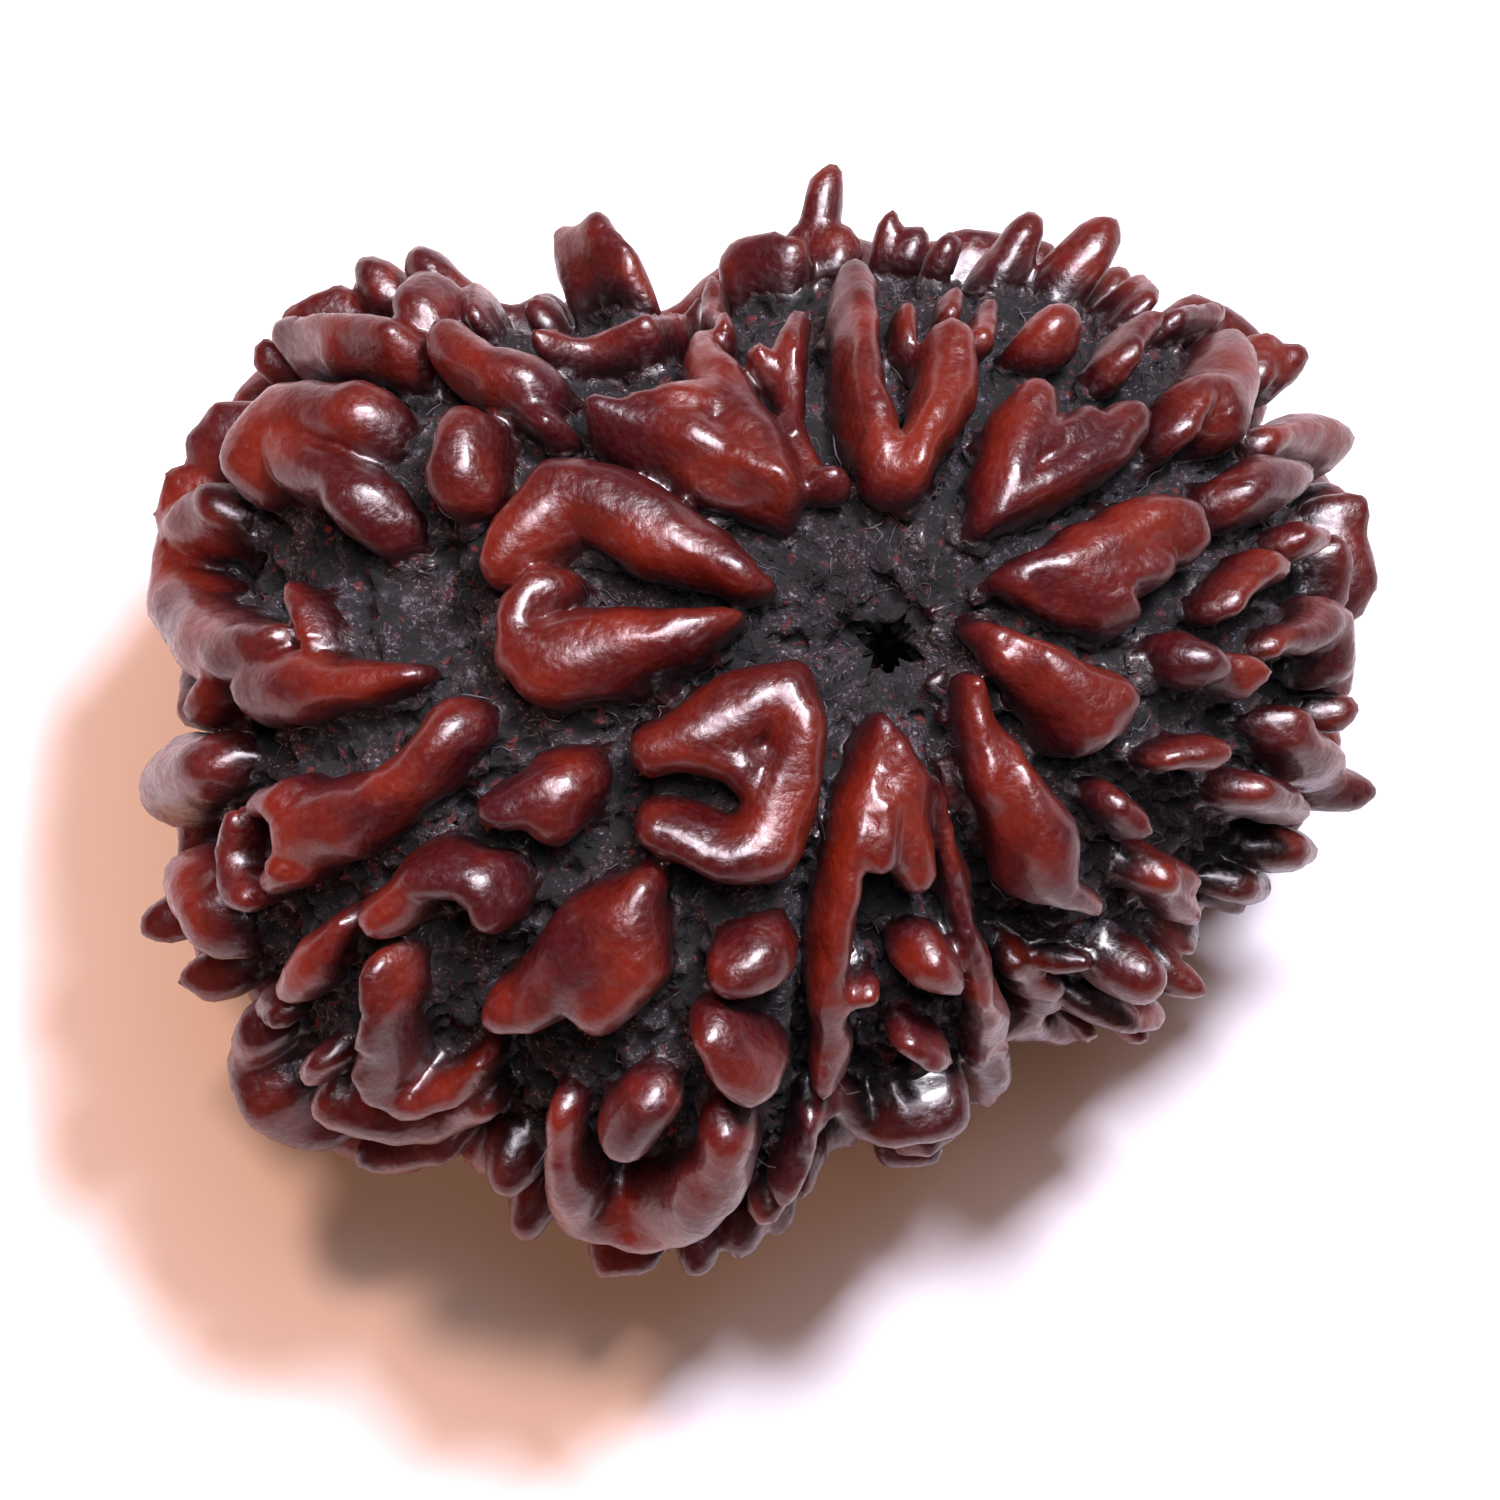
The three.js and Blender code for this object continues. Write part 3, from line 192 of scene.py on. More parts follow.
LOWER_LOBES = (
    ((-0.5, -4.94, 0.54), (0.1, -4.74, 0.68)),
    ((-0.92, -6.1, 0.4), (-0.5, -6.66, 0.56), (-0.04, -7, 0.56)),
    ((-2.16, -7.54, 0.52), (-2.64, -8.18, 0.66)),
    (
        (-3.88, -7.7, 0.26), (-3.8, -8.7, 0.4), (-3.5, -9.7, 0.64), (-2.4, -10.1, 0.72),
        (-1.3, -9.7, 0.76), (-0.64, -8.9, 0.7), (-0.64, -8.2, 0.52),
    ),
    ((-3.2, -10.82, 0.32), (-2.3, -10.86, 0.32)),
    ((-1.26, -10.7, 0.48),),
    ((0.96, -7.9, 0.28), (0.8, -8.6, 0.48), (0.6, -9, 0.4)),
    ((0.16, -9.6, 0.4),),
    ((-0.24, -10.26, 0.5),),
    ((0.3, -10.2, 0.28), (0.6, -10.06, 0.24)),
    (
        (-2.1, -3.14, 0.28), (-2.5, -3.7, 0.56), (-3.3, -4.46, 0.88), (-3.9, -5.02, 0.8),
        (-4.44, -5.58, 0.54), (-5.04, -5.7, 0.42),
    ),
    ((-2.36, -4.2, 0.52), (-2.6, -5, 0.68), (-3.16, -5.66, 0.68)),
    ((3.3, -4.8, 0.56), (3.7, -5.2, 0.32)),
    ((2.2, -5.4, 0.22), (1.7, -5.5, 0.24)),
    ((2.8, -6.4, 0.24), (3.3, -6.6, 0.32), (3.6, -6.7, 0.2)),
    ((1.1, -7.7, 0.36), (2, -7.94, 0.4), (2.9, -8, 0.56), (3.6, -7.86, 0.68)),
    ((2.5, -8.66, 0.28), (3.5, -8.7, 0.22)),
)

RIGHT_LOBES = (
    ((8.54, 1.14, 0.54), (9.04, 1.14, 0.34)),
    ((9.3, 1, 0.28), (9.7, 0.66, 0.4)),
    ((9.1, 2.2, 0.26), (9.36, 2.6, 0.28), (9.8, 2.94, 0.32), (10.1, 2.8, 0.28)),
    ((8, -0.86, 0.26), (8.4, -0.74, 0.32), (8.8, -0.8, 0.36)),
    ((7.04, -1.7, 0.32), (7.3, -2.06, 0.36)),
    ((9.5, -1.5, 0.36), (10.1, -1.7, 0.44), (10.4, -1.86, 0.36)),
    ((10.5, -0.2, 0.4), (10.8, -0.8, 0.48), (11.2, -1.2, 0.36)),
    ((11.32, 0.06, 0.36),),
    ((11.84, -1.56, 0.46),),
    ((10.2, -2.7, 0.46), (10.8, -2.7, 0.44)),
    ((7.8, -3.1, 0.36), (8.2, -3.5, 0.44), (8.36, -3.8, 0.28)),
    ((9.3, -3.4, 0.36), (9.7, -3.4, 0.36)),
    ((10.1, 1.3, 0.18), (10.8, 1.6, 0.32), (11.3, 1.9, 0.48), (11.3, 1, 0.4)),
    ((11.96, 4.26, 0.32), (11.8, 3.5, 0.4), (11.88, 2.6, 0.44), (11.8, 2.06, 0.28)),
    ((10.5, 3.4, 0.32), (11, 3.5, 0.28)),
    ((9.4, 4.3, 0.52), (10, 4.5, 0.52), (10.5, 4.7, 0.32)),
    ((9.24, 7.26, 0.48), (9.3, 6.6, 0.7), (9.08, 5.94, 0.68)),
    ((9.04, 6.2, 0.56), (8.5, 6.3, 0.4), (8.3, 5.5, 0.32)),
    ((10.04, 7.4, 0.32), (10.04, 6.8, 0.24)),
    ((10.52, 7.1, 0.42),),
    ((10.04, 5.5, 0.28), (10.8, 5.5, 0.44), (11.44, 5.46, 0.44)),
)

LOWER_RIGHT_LOBES = (
    ((5.1, -4.86, 0.28), (5.5, -5.2, 0.4), (5.48, -5.8, 0.28)),
    ((5.5, -4.9, 0.28), (6.36, -4.94, 0.2)),
    ((6.3, -5.7, 0.4), (7, -5.9, 0.4)),
    ((7.36, -5.14, 0.68),),
    ((7.2, -6, 0.28), (7.84, -6, 0.3)),
    ((8.7, -4.3, 0.4), (8.5, -4.6, 0.28)),
    ((8.56, -5.4, 0.4),),
    ((5.04, -6.1, 0.44), (5.6, -6.14, 0.4)),
    ((6.4, -6.14, 0.28), (6.12, -6.3, 0.24)),
    ((7.4, -6.4, 0.24), (7.64, -6.5, 0.2)),
    ((9.5, -3.86, 0.24), (9.72, -3.94, 0.2)),
)

# Bare hollows of the seen face, in the same form.
HOLLOWS = (
    ((-6.56, 3.1, 0.6), (-6.48, 1.6, 0.64)),
    ((-9.96, 3.4, 0.44), (-10.08, 2.34, 0.44)),
    ((-3.5, 2.6, 0.28), (-3, 2.4, 0.24)),
    ((-2.4, 6.9, 0.48), (-2.8, 6.6, 0.36)),
    ((-3.1, 8.4, 0.48), (-3.2, 8.7, 0.4)),
    ((0.3, 8.46, 0.4), (0.6, 8.3, 0.32)),
    ((2.5, -4.3, 0.48), (2.5, -4.9, 0.4)),
    ((-5.2, -4.94, 0.44), (-4.9, -4.7, 0.36)),
    ((10.16, 2.26, 0.4), (10.4, 2.06, 0.28)),
    ((6.76, 8.46, 0.32), (6.9, 8.8, 0.2)),
    ((-9.84, -2.7, 0.32), (-9.96, -2.9, 0.28)),
    ((-6.6, -6.1, 0.44), (-6.4, -6.6, 0.36)),
    ((-2.2, -8.9, 0.56), (-1.8, -8.7, 0.48)),
    ((-6.1, -4.2, 0.48), (-6.2, -4.5, 0.4)),
)

# The eleven furrows over the seen face, from the mouth of the hole out: (right, up).
FURROWS = (
    ((3.4, 4.3), (4.3, 5.5), (4.7, 7.7), (4.6, 9.5)),
    ((4.5, 3.4), (6, 4), (7.8, 4.7), (9.6, 5.7), (11, 6.4)),
    ((4.8, 2.2), (6.6, 1.5), (7.8, 1.3), (9.2, -0.1), (11.7, -0.9)),
    ((4.3, 1.1), (5.2, -0.5), (6.6, -1.5), (7.2, -2.9), (9, -4.3)),
    ((3.9, 0.3), (4.3, -1.7), (4.6, -4.1), (4.9, -5.7), (5, -6.9)),
    ((3.2, -0.1), (3.4, -1.3), (3.6, -3.3), (3.9, -5.7), (4, -7.3)),
    ((1.8, -0.3), (1.4, -1.7), (0.9, -4.1), (0.7, -6.1), (0.6, -7.5)),
    ((0.8, 1.4), (-1.2, 0.7), (-3, -0.5), (-5.4, -1.5), (-6.4, -2.9), (-8.2, -3.5), (-10, -4.9)),
    ((0.6, 3.4), (-1.2, 4.2), (-3.6, 5.2), (-4.3, 5.4), (-6.6, 6.3), (-8.4, 6.5), (-10.4, 6.3)),
    ((1, 4.3), (0.4, 5.9), (-0.4, 7), (-1.4, 8), (-1.6, 8.6)),
    ((1.6, 4.7), (1.4, 5.9), (1.1, 7.3), (0.4, 8.3), (0, 9.5)),
)

SEEN_LOBES = (
    POLAR_LOBES + UPPER_LOBES + UPPER_LEFT_LOBES + LEFT_LOBES + LOWER_LOBES + RIGHT_LOBES
    + LOWER_RIGHT_LOBES
)

# Direction of each furrow from the lower pole, on the underside, in degrees.
UNDER_FURROW_DEGREES = (58, 26, -6, -38, -68, -93, -124, -158, 166, 131, 95)


class Side(Enum):
    """The side that a table of points is seen from."""

    ABOVE = "above"
    BELOW = "below"


def between(low: float, high: float, share: float) -> float:
    """Return the value at a share of the way from low to high."""
    return low + (high - low) * share


def unit(vectors: np.ndarray) -> np.ndarray:
    """Return the vectors at length 1."""
    return vectors / np.linalg.norm(vectors, axis=-1, keepdims=True)


class NumberRun:
    """A repeatable run of numbers from 0 to 1."""

    def __init__(self, seed: int) -> None:
        """Start the run at a seed."""
        self.state = seed

    def draw(self) -> float:
        """Return the next number."""
        self.state = (self.state * 1664525 + 1013904223) % 2**32
        return self.state / 2**32


@dataclass
class StoneForm:
    """The stone's overall form in millimetres: its valley floor, without lobes or pits."""

    top_half: float = 7.4
    under_half: float = 7.3
    profile_power: float = 2.3
    crest_height: float = 1.7
    read_height: float = 1.1
    rest_depth: float = 8.22
    middle_x: float = -0.01
    middle_y: float = -0.26
    pole: tuple[float, float] = (2.5, -0.2)
    hole_radius: float = 0.6
    look_elevation: float = 75.0
    cast_start: float = 14.0
    cast_step: float = 0.1
    cast_halvings: int = 20

    def __post_init__(self) -> None:
        """Work out the slopes of the outline at its points."""
        angles = np.array([point[0] for point in OUTLINE], float)
        radii = np.array([point[1] for point in OUTLINE], float)
        self.angles = np.concatenate([angles[-2:] - 360, angles, angles[:2] + 360])
        self.radii = np.concatenate([radii[-2:], radii, radii[:2]])

    def sight(self, side: Side) -> tuple[np.ndarray, np.ndarray, np.ndarray]:
        """Give the directions that a side's tables are measured in.

        Args:
            side: the side that the points are seen from.

        Returns:
            The right, up and toward-the-viewer directions.
        """
        if side is Side.BELOW:
            return np.array([1.0, 0, 0]), np.array([0, 1.0, 0]), np.array([0, 0, -1.0])
        tilt = math.radians(self.look_elevation)
        up = np.array([0, math.sin(tilt), math.cos(tilt)])
        return np.array([1.0, 0, 0]), up, np.array([0, -math.cos(tilt), math.sin(tilt)])

    def side_radius(self, directions: np.ndarray) -> np.ndarray:
        """Give the valley floor's radius in plan, a smooth closed curve through OUTLINE.

        Args:
            directions: unit directions from the seed's middle.

        Returns:
            A radius for each direction.
        """
        degrees = np.degrees(np.arctan2(directions[..., 1], directions[..., 0])) % 360
        last = np.searchsorted(self.angles, degrees, side="right")
        start, end = self.angles[last - 1], self.angles[last]
        low, high = self.radii[last - 1], self.radii[last]
        span = end - start
        share = (degrees - start) / span
        start_slope = span * (high - self.radii[last - 2]) / (end - self.angles[last - 2])
        end_slope = span * (self.radii[last + 1] - low) / (self.angles[last + 1] - start)
        cube, square = share**3, share**2
        return (
            (2 * cube - 3 * square + 1) * low + (cube - 2 * square + share) * start_slope
            + (3 * square - 2 * cube) * high + (cube - square) * end_slope
        )

    def floor_radius(self, directions: np.ndarray) -> np.ndarray:
        """Give the distance from the seed's middle to the valley floor.

        Args:
            directions: unit directions from the seed's middle.

        Returns:
            A distance for each direction.
        """
        flat = np.hypot(directions[..., 0], directions[..., 1])
        half = np.where(directions[..., 2] > 0, self.top_half, self.under_half)
        total = (flat / self.side_radius(directions)) ** self.profile_power
        total = total + (np.abs(directions[..., 2]) / half) ** self.profile_power
        return total ** (-1 / self.profile_power)

    def on_crest(self, directions: np.ndarray) -> np.ndarray:
        """Return the points of the crest surface along unit directions."""
        return directions * (self.floor_radius(directions) + self.crest_height)[..., None]

    def facing(self, directions: np.ndarray) -> np.ndarray:
        """Say how squarely the valley floor faces the camera.

        Args:
            directions: unit directions from the seed's middle.

        Returns:
            1 head on and 0 edge on, for each direction.
        """
        flat = np.hypot(directions[..., 0], directions[..., 1])
        side = self.side_radius(directions)
        half = np.where(directions[..., 2] > 0, self.top_half, self.under_half)
        power = self.profile_power - 1
        outward = (flat / side) ** power / side
        upward = np.sign(directions[..., 2]) * (np.abs(directions[..., 2]) / half) ** power / half
        normal = np.stack(
            [outward * directions[..., 0] / flat, outward * directions[..., 1] / flat, upward], -1
        )
        return unit(normal) @ self.sight(Side.ABOVE)[2]

    def cast(
        self, points: np.ndarray, side: Side, height: float
    ) -> tuple[np.ndarray, np.ndarray]:
        """Follow sight lines to the surface at a height above the valley floor.

        Args:
            points: rows of right and up, in millimetres from the seed's middle.
            side: the side that the points are seen from.
            height: how far above the floor the surface lies.

        Returns:
            A unit direction for each point, and how far outside the surface its line passes.
        """
        right, up, toward = self.sight(side)
        base = points[:, :1] * right + points[:, 1:2] * up

        def clearance(depths: np.ndarray) -> np.ndarray:
            places = base + depths[:, None] * toward
            lengths = np.linalg.norm(places, axis=1)
            return lengths - self.floor_radius(places / lengths[:, None]) - height

        count = len(points)
        nearest = np.full(count, self.cast_start)
        least = clearance(nearest)
        hit = np.zeros(count, bool)
        inside = np.zeros(count)
        for step in range(1, int(2 * self.cast_start / self.cast_step)):
            depth = np.full(count, self.cast_start - step * self.cast_step)
            gap = clearance(depth)
            new = (gap <= 0) & ~hit
            inside[new] = depth[new]
            hit |= new
            closer = (gap < least) & ~hit
            least = np.where(closer, gap, least)
            nearest = np.where(closer, depth, nearest)
        outside = inside + self.cast_step
        for _ in range(self.cast_halvings):
            middle = (inside + outside) / 2
            within = clearance(middle) <= 0
            inside = np.where(within, middle, inside)
            outside = np.where(within, outside, middle)
        depths = np.where(hit, inside, nearest)
        return unit(base + depths[:, None] * toward), np.where(hit, 0.0, least)

    def to_frame(self, places: np.ndarray) -> np.ndarray:
        """Turn millimetres from the seed's middle into metres in the frame."""
        return (places + np.array([-self.middle_x, -self.middle_y, self.rest_depth])) * MM


@dataclass
class Knots:
    """Points of one lobe: places on the crest surface, half widths and heights."""

    places: np.ndarray
    widths: np.ndarray
    heights: np.ndarray

    def pick(self, rows: list[int]) -> "Knots":
        """Return some of the knots."""
        return Knots(self.places[rows], self.widths[rows], self.heights[rows])


class Links:
    """Straight pieces between the knots of many chains."""

    def __init__(self) -> None:
        """Start with no links."""
        self.starts: list[np.ndarray] = []
        self.ends: list[np.ndarray] = []
        self.widths: list[tuple[float, float]] = []
        self.heights: list[tuple[float, float]] = []

    def add(self, knots: Knots) -> None:
        """Add a chain. A single knot is a link of no length.

        Args:
            knots: the chain's knots in order.
        """
        count = len(knots.places)
        for end in range(1 if count > 1 else 0, count):
            start = max(0, end - 1)
            self.starts.append(knots.places[start])
            self.ends.append(knots.places[end])
            self.widths.append((knots.widths[start], knots.widths[end]))
            self.heights.append((knots.heights[start], knots.heights[end]))

    def clear(self, place: np.ndarray, width: float, gap: float) -> bool:
        """Say whether a disc stands clear of every link.

        Args:
            place: the disc's middle.
            width: its radius.
            gap: the least gap that it keeps.

        Returns:
            True where it is clear.
        """
        if not self.starts:
            return True
        starts = np.array(self.starts)
        runs = np.array(self.ends) - starts
        widths = np.array(self.widths)
        squares = (runs**2).sum(1)
        dots = ((place - starts) * runs).sum(1)
        share = np.where(squares > 0, np.clip(dots / np.where(squares > 0, squares, 1), 0, 1), 0)
        distance = np.linalg.norm(place - starts - share[:, None] * runs, axis=1)
        near = widths[:, 0] + share * (widths[:, 1] - widths[:, 0])
        return bool(np.all(distance > near + width + gap))

    def clear_all(self, places: np.ndarray, widths: np.ndarray, gap: float) -> np.ndarray:
        """Say which of many discs stand clear of every link.

        Args:
            places: the discs' middles.
            widths: their radii.
            gap: the least gap that they keep.

        Returns:
            True for each disc that is clear.
        """
        fine = np.ones(len(places), bool)
        for start, end, (low, high) in zip(self.starts, self.ends, self.widths):
            distance, share = distance_to(places, start, end)
            fine &= distance > low + share * (high - low) + widths + gap
        return fine

    def relief(self, places: np.ndarray, shape) -> np.ndarray:
        """Give the greatest height of the links' relief at each place.

        Args:
            places: places on the crest surface.
            shape: the height share by distance over width.

        Returns:
            A height in millimetres for each place.
        """
        most = np.zeros(len(places))
        for start, end, (low, high), heights in zip(
            self.starts, self.ends, self.widths, self.heights
        ):
            reach = np.linalg.norm(end - start) / 2 + max(low, high)
            away = places - (start + end) / 2
            close = np.flatnonzero((away**2).sum(1) < reach**2)
            if not len(close):
                continue
            distance, share = distance_to(places[close], start, end)
            height = heights[0] + share * (heights[1] - heights[0])
            raised = height * shape(distance / (low + share * (high - low)))
            most[close] = np.maximum(most[close], raised)
        return most


def distance_to(
    places: np.ndarray, start: np.ndarray, end: np.ndarray
) -> tuple[np.ndarray, np.ndarray]:
    """Measure how far places are from a link.

    Args:
        places: the places.
        start: the link's start.
        end: the link's end.

    Returns:
        The distance of each place, and the share of the way along the link that is nearest.
    """
    run = end - start
    square = float(run @ run)
    if square == 0:
        return np.linalg.norm(places - start, axis=1), np.zeros(len(places))
    share = np.clip((places - start) @ run / square, 0, 1)
    return np.linalg.norm(places - start - share[:, None] * run, axis=1), share


def lobe_shape(share: np.ndarray, power: float = 2.5, root: float = 0.5) -> np.ndarray:
    """Return a lobe's height share by distance from its crest over its half width."""
    return (1 - np.minimum(share, 1) ** power) ** root


def sunk_shape(share: np.ndarray) -> np.ndarray:
    """Return a hollow's depth share by distance from its middle over its half width."""
    return (1 - np.minimum(share, 1) ** 2) ** 2


@dataclass(frozen=True)
class Throw:
    """A size of lobe that is thrown at random on the hidden side."""

    tries: int
    widths: tuple[float, float]
    steps: tuple[float, float]


@dataclass
class Relief:
    """Everything that stands on the valley floor or is sunk in it, in millimetres."""

    form: StoneForm
    spread: float = 1.18
    slim_share: float = 0.55
    share_per_mm: float = 1.0
    tallness: tuple[float, float] = (0.86, 1.1)
    seen_tallness: tuple[float, float] = (0.96, 1.12)
    furrow_half_width: float = 0.42
    furrow_depth: float = 0.45
    hollow_depth_share: float = 0.95
    pit_radius: float = 2.2
    pit_depth: float = 1.3
    under_furrow_radii: tuple[float, ...] = (6.6, 4.2, 1.9)
    wedge_radii: tuple[float, ...] = (2.1, 3.3, 4.9)
    wedge_widths: tuple[float, ...] = (0.28, 0.5, 0.78)
    wedge_reach: tuple[float, float] = (0.75, 1.3)
    wedge_turn: tuple[float, float] = (-0.2, 0.2)
    wedge_furrow_gap: float = 0.3
    lobe_gap: float = 0.16
    hidden_limit: float = 0.13
    seed: int = 11
    throw_turn: float = 1.3
    arm_turns: tuple[float, float] = (1.2, 1.9)
    arm_share: float = 0.5
    throws: tuple[Throw, ...] = (
        Throw(2500, (0.52, 0.8), (0.8, 1.4)),
        Throw(6000, (0.4, 0.56), (0.55, 1.0)),
        Throw(14000, (0.28, 0.42), (0.2, 0.6)),
    )
    lobes: Links = field(default_factory=Links)
    sunk: Links = field(default_factory=Links)

    def __post_init__(self) -> None:
        """Lay out the furrows, the lobes of both sides, the hollows and the pits."""
        run = NumberRun(self.seed)
        furrows = self.furrows()
        for lobe in SEEN_LOBES:
            self.lobes.add(self.seen_lobe(lobe, run))
        for knots in self.wedges(run):
            self.lobes.add(knots)
        for throw in self.throws:
            self.throw_lobes(throw, furrows, run)
        self.sink(furrows)

    def heights(
        self, widths: np.ndarray, tallness: np.ndarray | float, overshoot: np.ndarray | float = 0.0
    ) -> np.ndarray:
        """Give the heights of lobe knots.

        Args:
            widths: half widths.
            tallness: each lobe's own share of the common height.
            overshoot: how far each knot's sight line passes outside the read surface.

        Returns:
            A height for each knot.
        """
        share = np.minimum(1, self.slim_share + self.share_per_mm * widths) * tallness
        reach = np.where(np.asarray(overshoot) > 0, self.form.read_height + overshoot + widths, 0)
        return np.maximum(self.form.crest_height * share, reach)

    def seen_lobe(self, points: tuple, run: NumberRun) -> Knots:
        """Return the knots of one lobe of the seen face."""
        tallness = between(*self.seen_tallness, run.draw())
        table = np.array(points, float)
        directions, overshoot = self.form.cast(table[:, :2], Side.ABOVE, self.form.read_height)
        widths = table[:, 2] * self.spread
        heights = self.heights(widths, tallness, overshoot)
        return Knots(self.form.on_crest(directions), widths, heights)

    def furrows(self) -> Links:
        """Return the eleven furrows, from the upper pole over the rim to the lower pole."""
        furrows = Links()
        for course, degrees in zip(FURROWS, UNDER_FURROW_DEGREES):
            angle = math.radians(degrees)
            seen = self.form.cast(np.array(course, float), Side.ABOVE, 0)[0]
            pole = self.form.pole
            under = [
                (pole[0] + radius * math.cos(angle), pole[1] + radius * math.sin(angle))
                for radius in self.under_furrow_radii
            ]
            below = self.form.cast(np.array(under), Side.BELOW, 0)[0]
            places = self.form.on_crest(np.concatenate([seen, below]))
            count = len(places)
            furrows.add(Knots(
                places, np.full(count, self.furrow_half_width), np.full(count, self.furrow_depth)
            ))
        return furrows

    def wedges(self, run: NumberRun) -> list[Knots]:
        """Lay a ring of wedges round the lower pole, with their tips inwards.

        Args:
            run: the run of numbers to draw from.

        Returns:
            One chain of knots for each space between two furrows.
        """
        found = []
        count = len(UNDER_FURROW_DEGREES)
        pole = self.form.pole
        for index, degrees in enumerate(UNDER_FURROW_DEGREES):
            following = UNDER_FURROW_DEGREES[(index + 1) % count]
            spread = math.radians(((degrees - following + 720) % 360) / 2)
            angle = math.radians(degrees) - spread * (1 + between(*self.wedge_turn, run.draw()))
            reach = between(*self.wedge_reach, run.draw())
            tallness = between(*self.tallness, run.draw())
            points, widths = [], []
            for step, radius in enumerate(self.wedge_radii):
                out = radius if step == 0 else radius * reach
                room = out * math.sin(spread) - self.wedge_furrow_gap
                widths.append(max(self.wedge_widths[0], min(self.wedge_widths[step], room)))
                points.append((pole[0] + out * math.cos(angle), pole[1] + out * math.sin(angle)))
            directions = self.form.cast(np.array(points), Side.BELOW, self.form.read_height)[0]
            half_widths = np.array(widths)
            heights = self.heights(half_widths, tallness)
            found.append(Knots(self.form.on_crest(directions), half_widths, heights))
        return found

    def throw_lobes(self, throw: Throw, furrows: Links, run: NumberRun) -> None:
        """Throw lobes of one size on the hidden side, and keep those that stand clear.

        Args:
            throw: the size and the number of tries.
            furrows: the furrows, which stay open.
            run: the run of numbers to draw from.
        """
        draws = np.array([[run.draw() for _ in range(15)] for _ in range(throw.tries)])
        height = 2 * draws[:, 0] - 1
        turn = 2 * math.pi * draws[:, 1]
        flat = np.sqrt(1 - height * height)
        first = np.stack([flat * np.cos(turn), flat * np.sin(turn), height], 1)
        heading = 2 * math.pi * draws[:, 2]
        low, high = throw.steps
        second = self.step(first, heading, between(low, high, draws[:, 3]))
        bent = heading + self.throw_turn * (draws[:, 4] - 0.5)
        third = self.step(second, bent, between(low, high, draws[:, 5]))
        side = np.where(draws[:, 6] < 0.5, 1, -1)
        arm_heading = heading + side * between(*self.arm_turns, draws[:, 7])
        arm = self.step(second, arm_heading, between(low, high, draws[:, 8]))
        knots = np.stack([first, second, third, arm], 1)
        widths = between(*throw.widths, draws[:, 9:13])
        tallness = between(*self.tallness, draws[:, 13])[:, None]
        armed = draws[:, 14] < self.arm_share
        places = self.form.on_crest(knots)
        heights = self.heights(widths, tallness)
        hidden = self.form.facing(knots) < self.hidden_limit
        unused = np.array([[False, False, False, True]]) & ~armed[:, None]
        rows = np.flatnonzero((hidden | unused).all(1))
        fine = np.ones((len(rows), 4), bool)
        for knot in range(4):
            spots, sizes = places[rows, knot], widths[rows, knot]
            fine[:, knot] = self.lobes.clear_all(spots, sizes, self.lobe_gap)
            fine[:, knot] &= furrows.clear_all(spots, sizes - self.furrow_half_width, self.lobe_gap)
        fresh = Links()
        for row in rows[(fine | unused[rows]).all(1)]:
            count = 4 if armed[row] else 3
            clear = all(
                fresh.clear(places[row, knot], widths[row, knot], self.lobe_gap)
                for knot in range(count)
            )
            if not clear:
                continue
            lobe = Knots(places[row], widths[row], heights[row])
            chains = [lobe.pick([0, 1, 2])] + ([lobe.pick([1, 3])] if armed[row] else [])
            for chain in chains:
                fresh.add(chain)
                self.lobes.add(chain)

    def step(self, start: np.ndarray, heading: np.ndarray, length: np.ndarray) -> np.ndarray:
        """Walk over the crest surface.

        Args:
            start: unit directions to start from.
            heading: angles from east, anticlockwise as seen from outside.
            length: how far to go.

        Returns:
            The unit directions reached.
        """
        east = unit(np.cross(np.array([0, 0, 1.0]), start))
        north = np.cross(start, east)
        ahead = east * (length * np.cos(heading))[:, None]
        return unit(self.form.on_crest(start) + ahead + north * (length * np.sin(heading))[:, None])

    def sink(self, furrows: Links) -> None:
        """Gather what is sunk in the floor: the furrows, the bare hollows and the two pits.

        Args:
            furrows: the furrows.
        """
        self.sunk = furrows
        for hollow in HOLLOWS:
            table = np.array(hollow, float)
            directions = self.form.cast(table[:, :2], Side.ABOVE, 0)[0]
            widths = table[:, 2]
            places = self.form.on_crest(directions)
            self.sunk.add(Knots(places, 2 * widths, self.hollow_depth_share * widths))
        for side in (1, -1):
            pole = np.array([[*self.form.pole, side * self.form.top_half]])
            self.sunk.add(Knots(
                self.form.on_crest(unit(pole)), np.array([self.pit_radius]),
                np.array([self.pit_depth]),
            ))

    def floor(self, directions: np.ndarray) -> np.ndarray:
        """Return the distance from the seed's middle to the floor, hollows and all."""
        sunk = self.sunk.relief(self.form.on_crest(directions), sunk_shape)
        return self.form.floor_radius(directions) - sunk

    def raised(self, directions: np.ndarray) -> np.ndarray:
        """Return how far the lobes stand above the floor along unit directions."""
        return self.lobes.relief(self.form.on_crest(directions), lobe_shape)


def deselect() -> None:
    """Leave edit mode and deselect everything, so that an operator acts on what follows alone."""
    if bpy.context.object and bpy.context.object.mode != "OBJECT":
        bpy.ops.object.mode_set(mode="OBJECT")
    bpy.ops.object.select_all(action="DESELECT")


def pick(piece: bpy.types.Object) -> None:
    """Select one object alone and make it active."""
    deselect()
    piece.select_set(True)
    bpy.context.view_layer.objects.active = piece


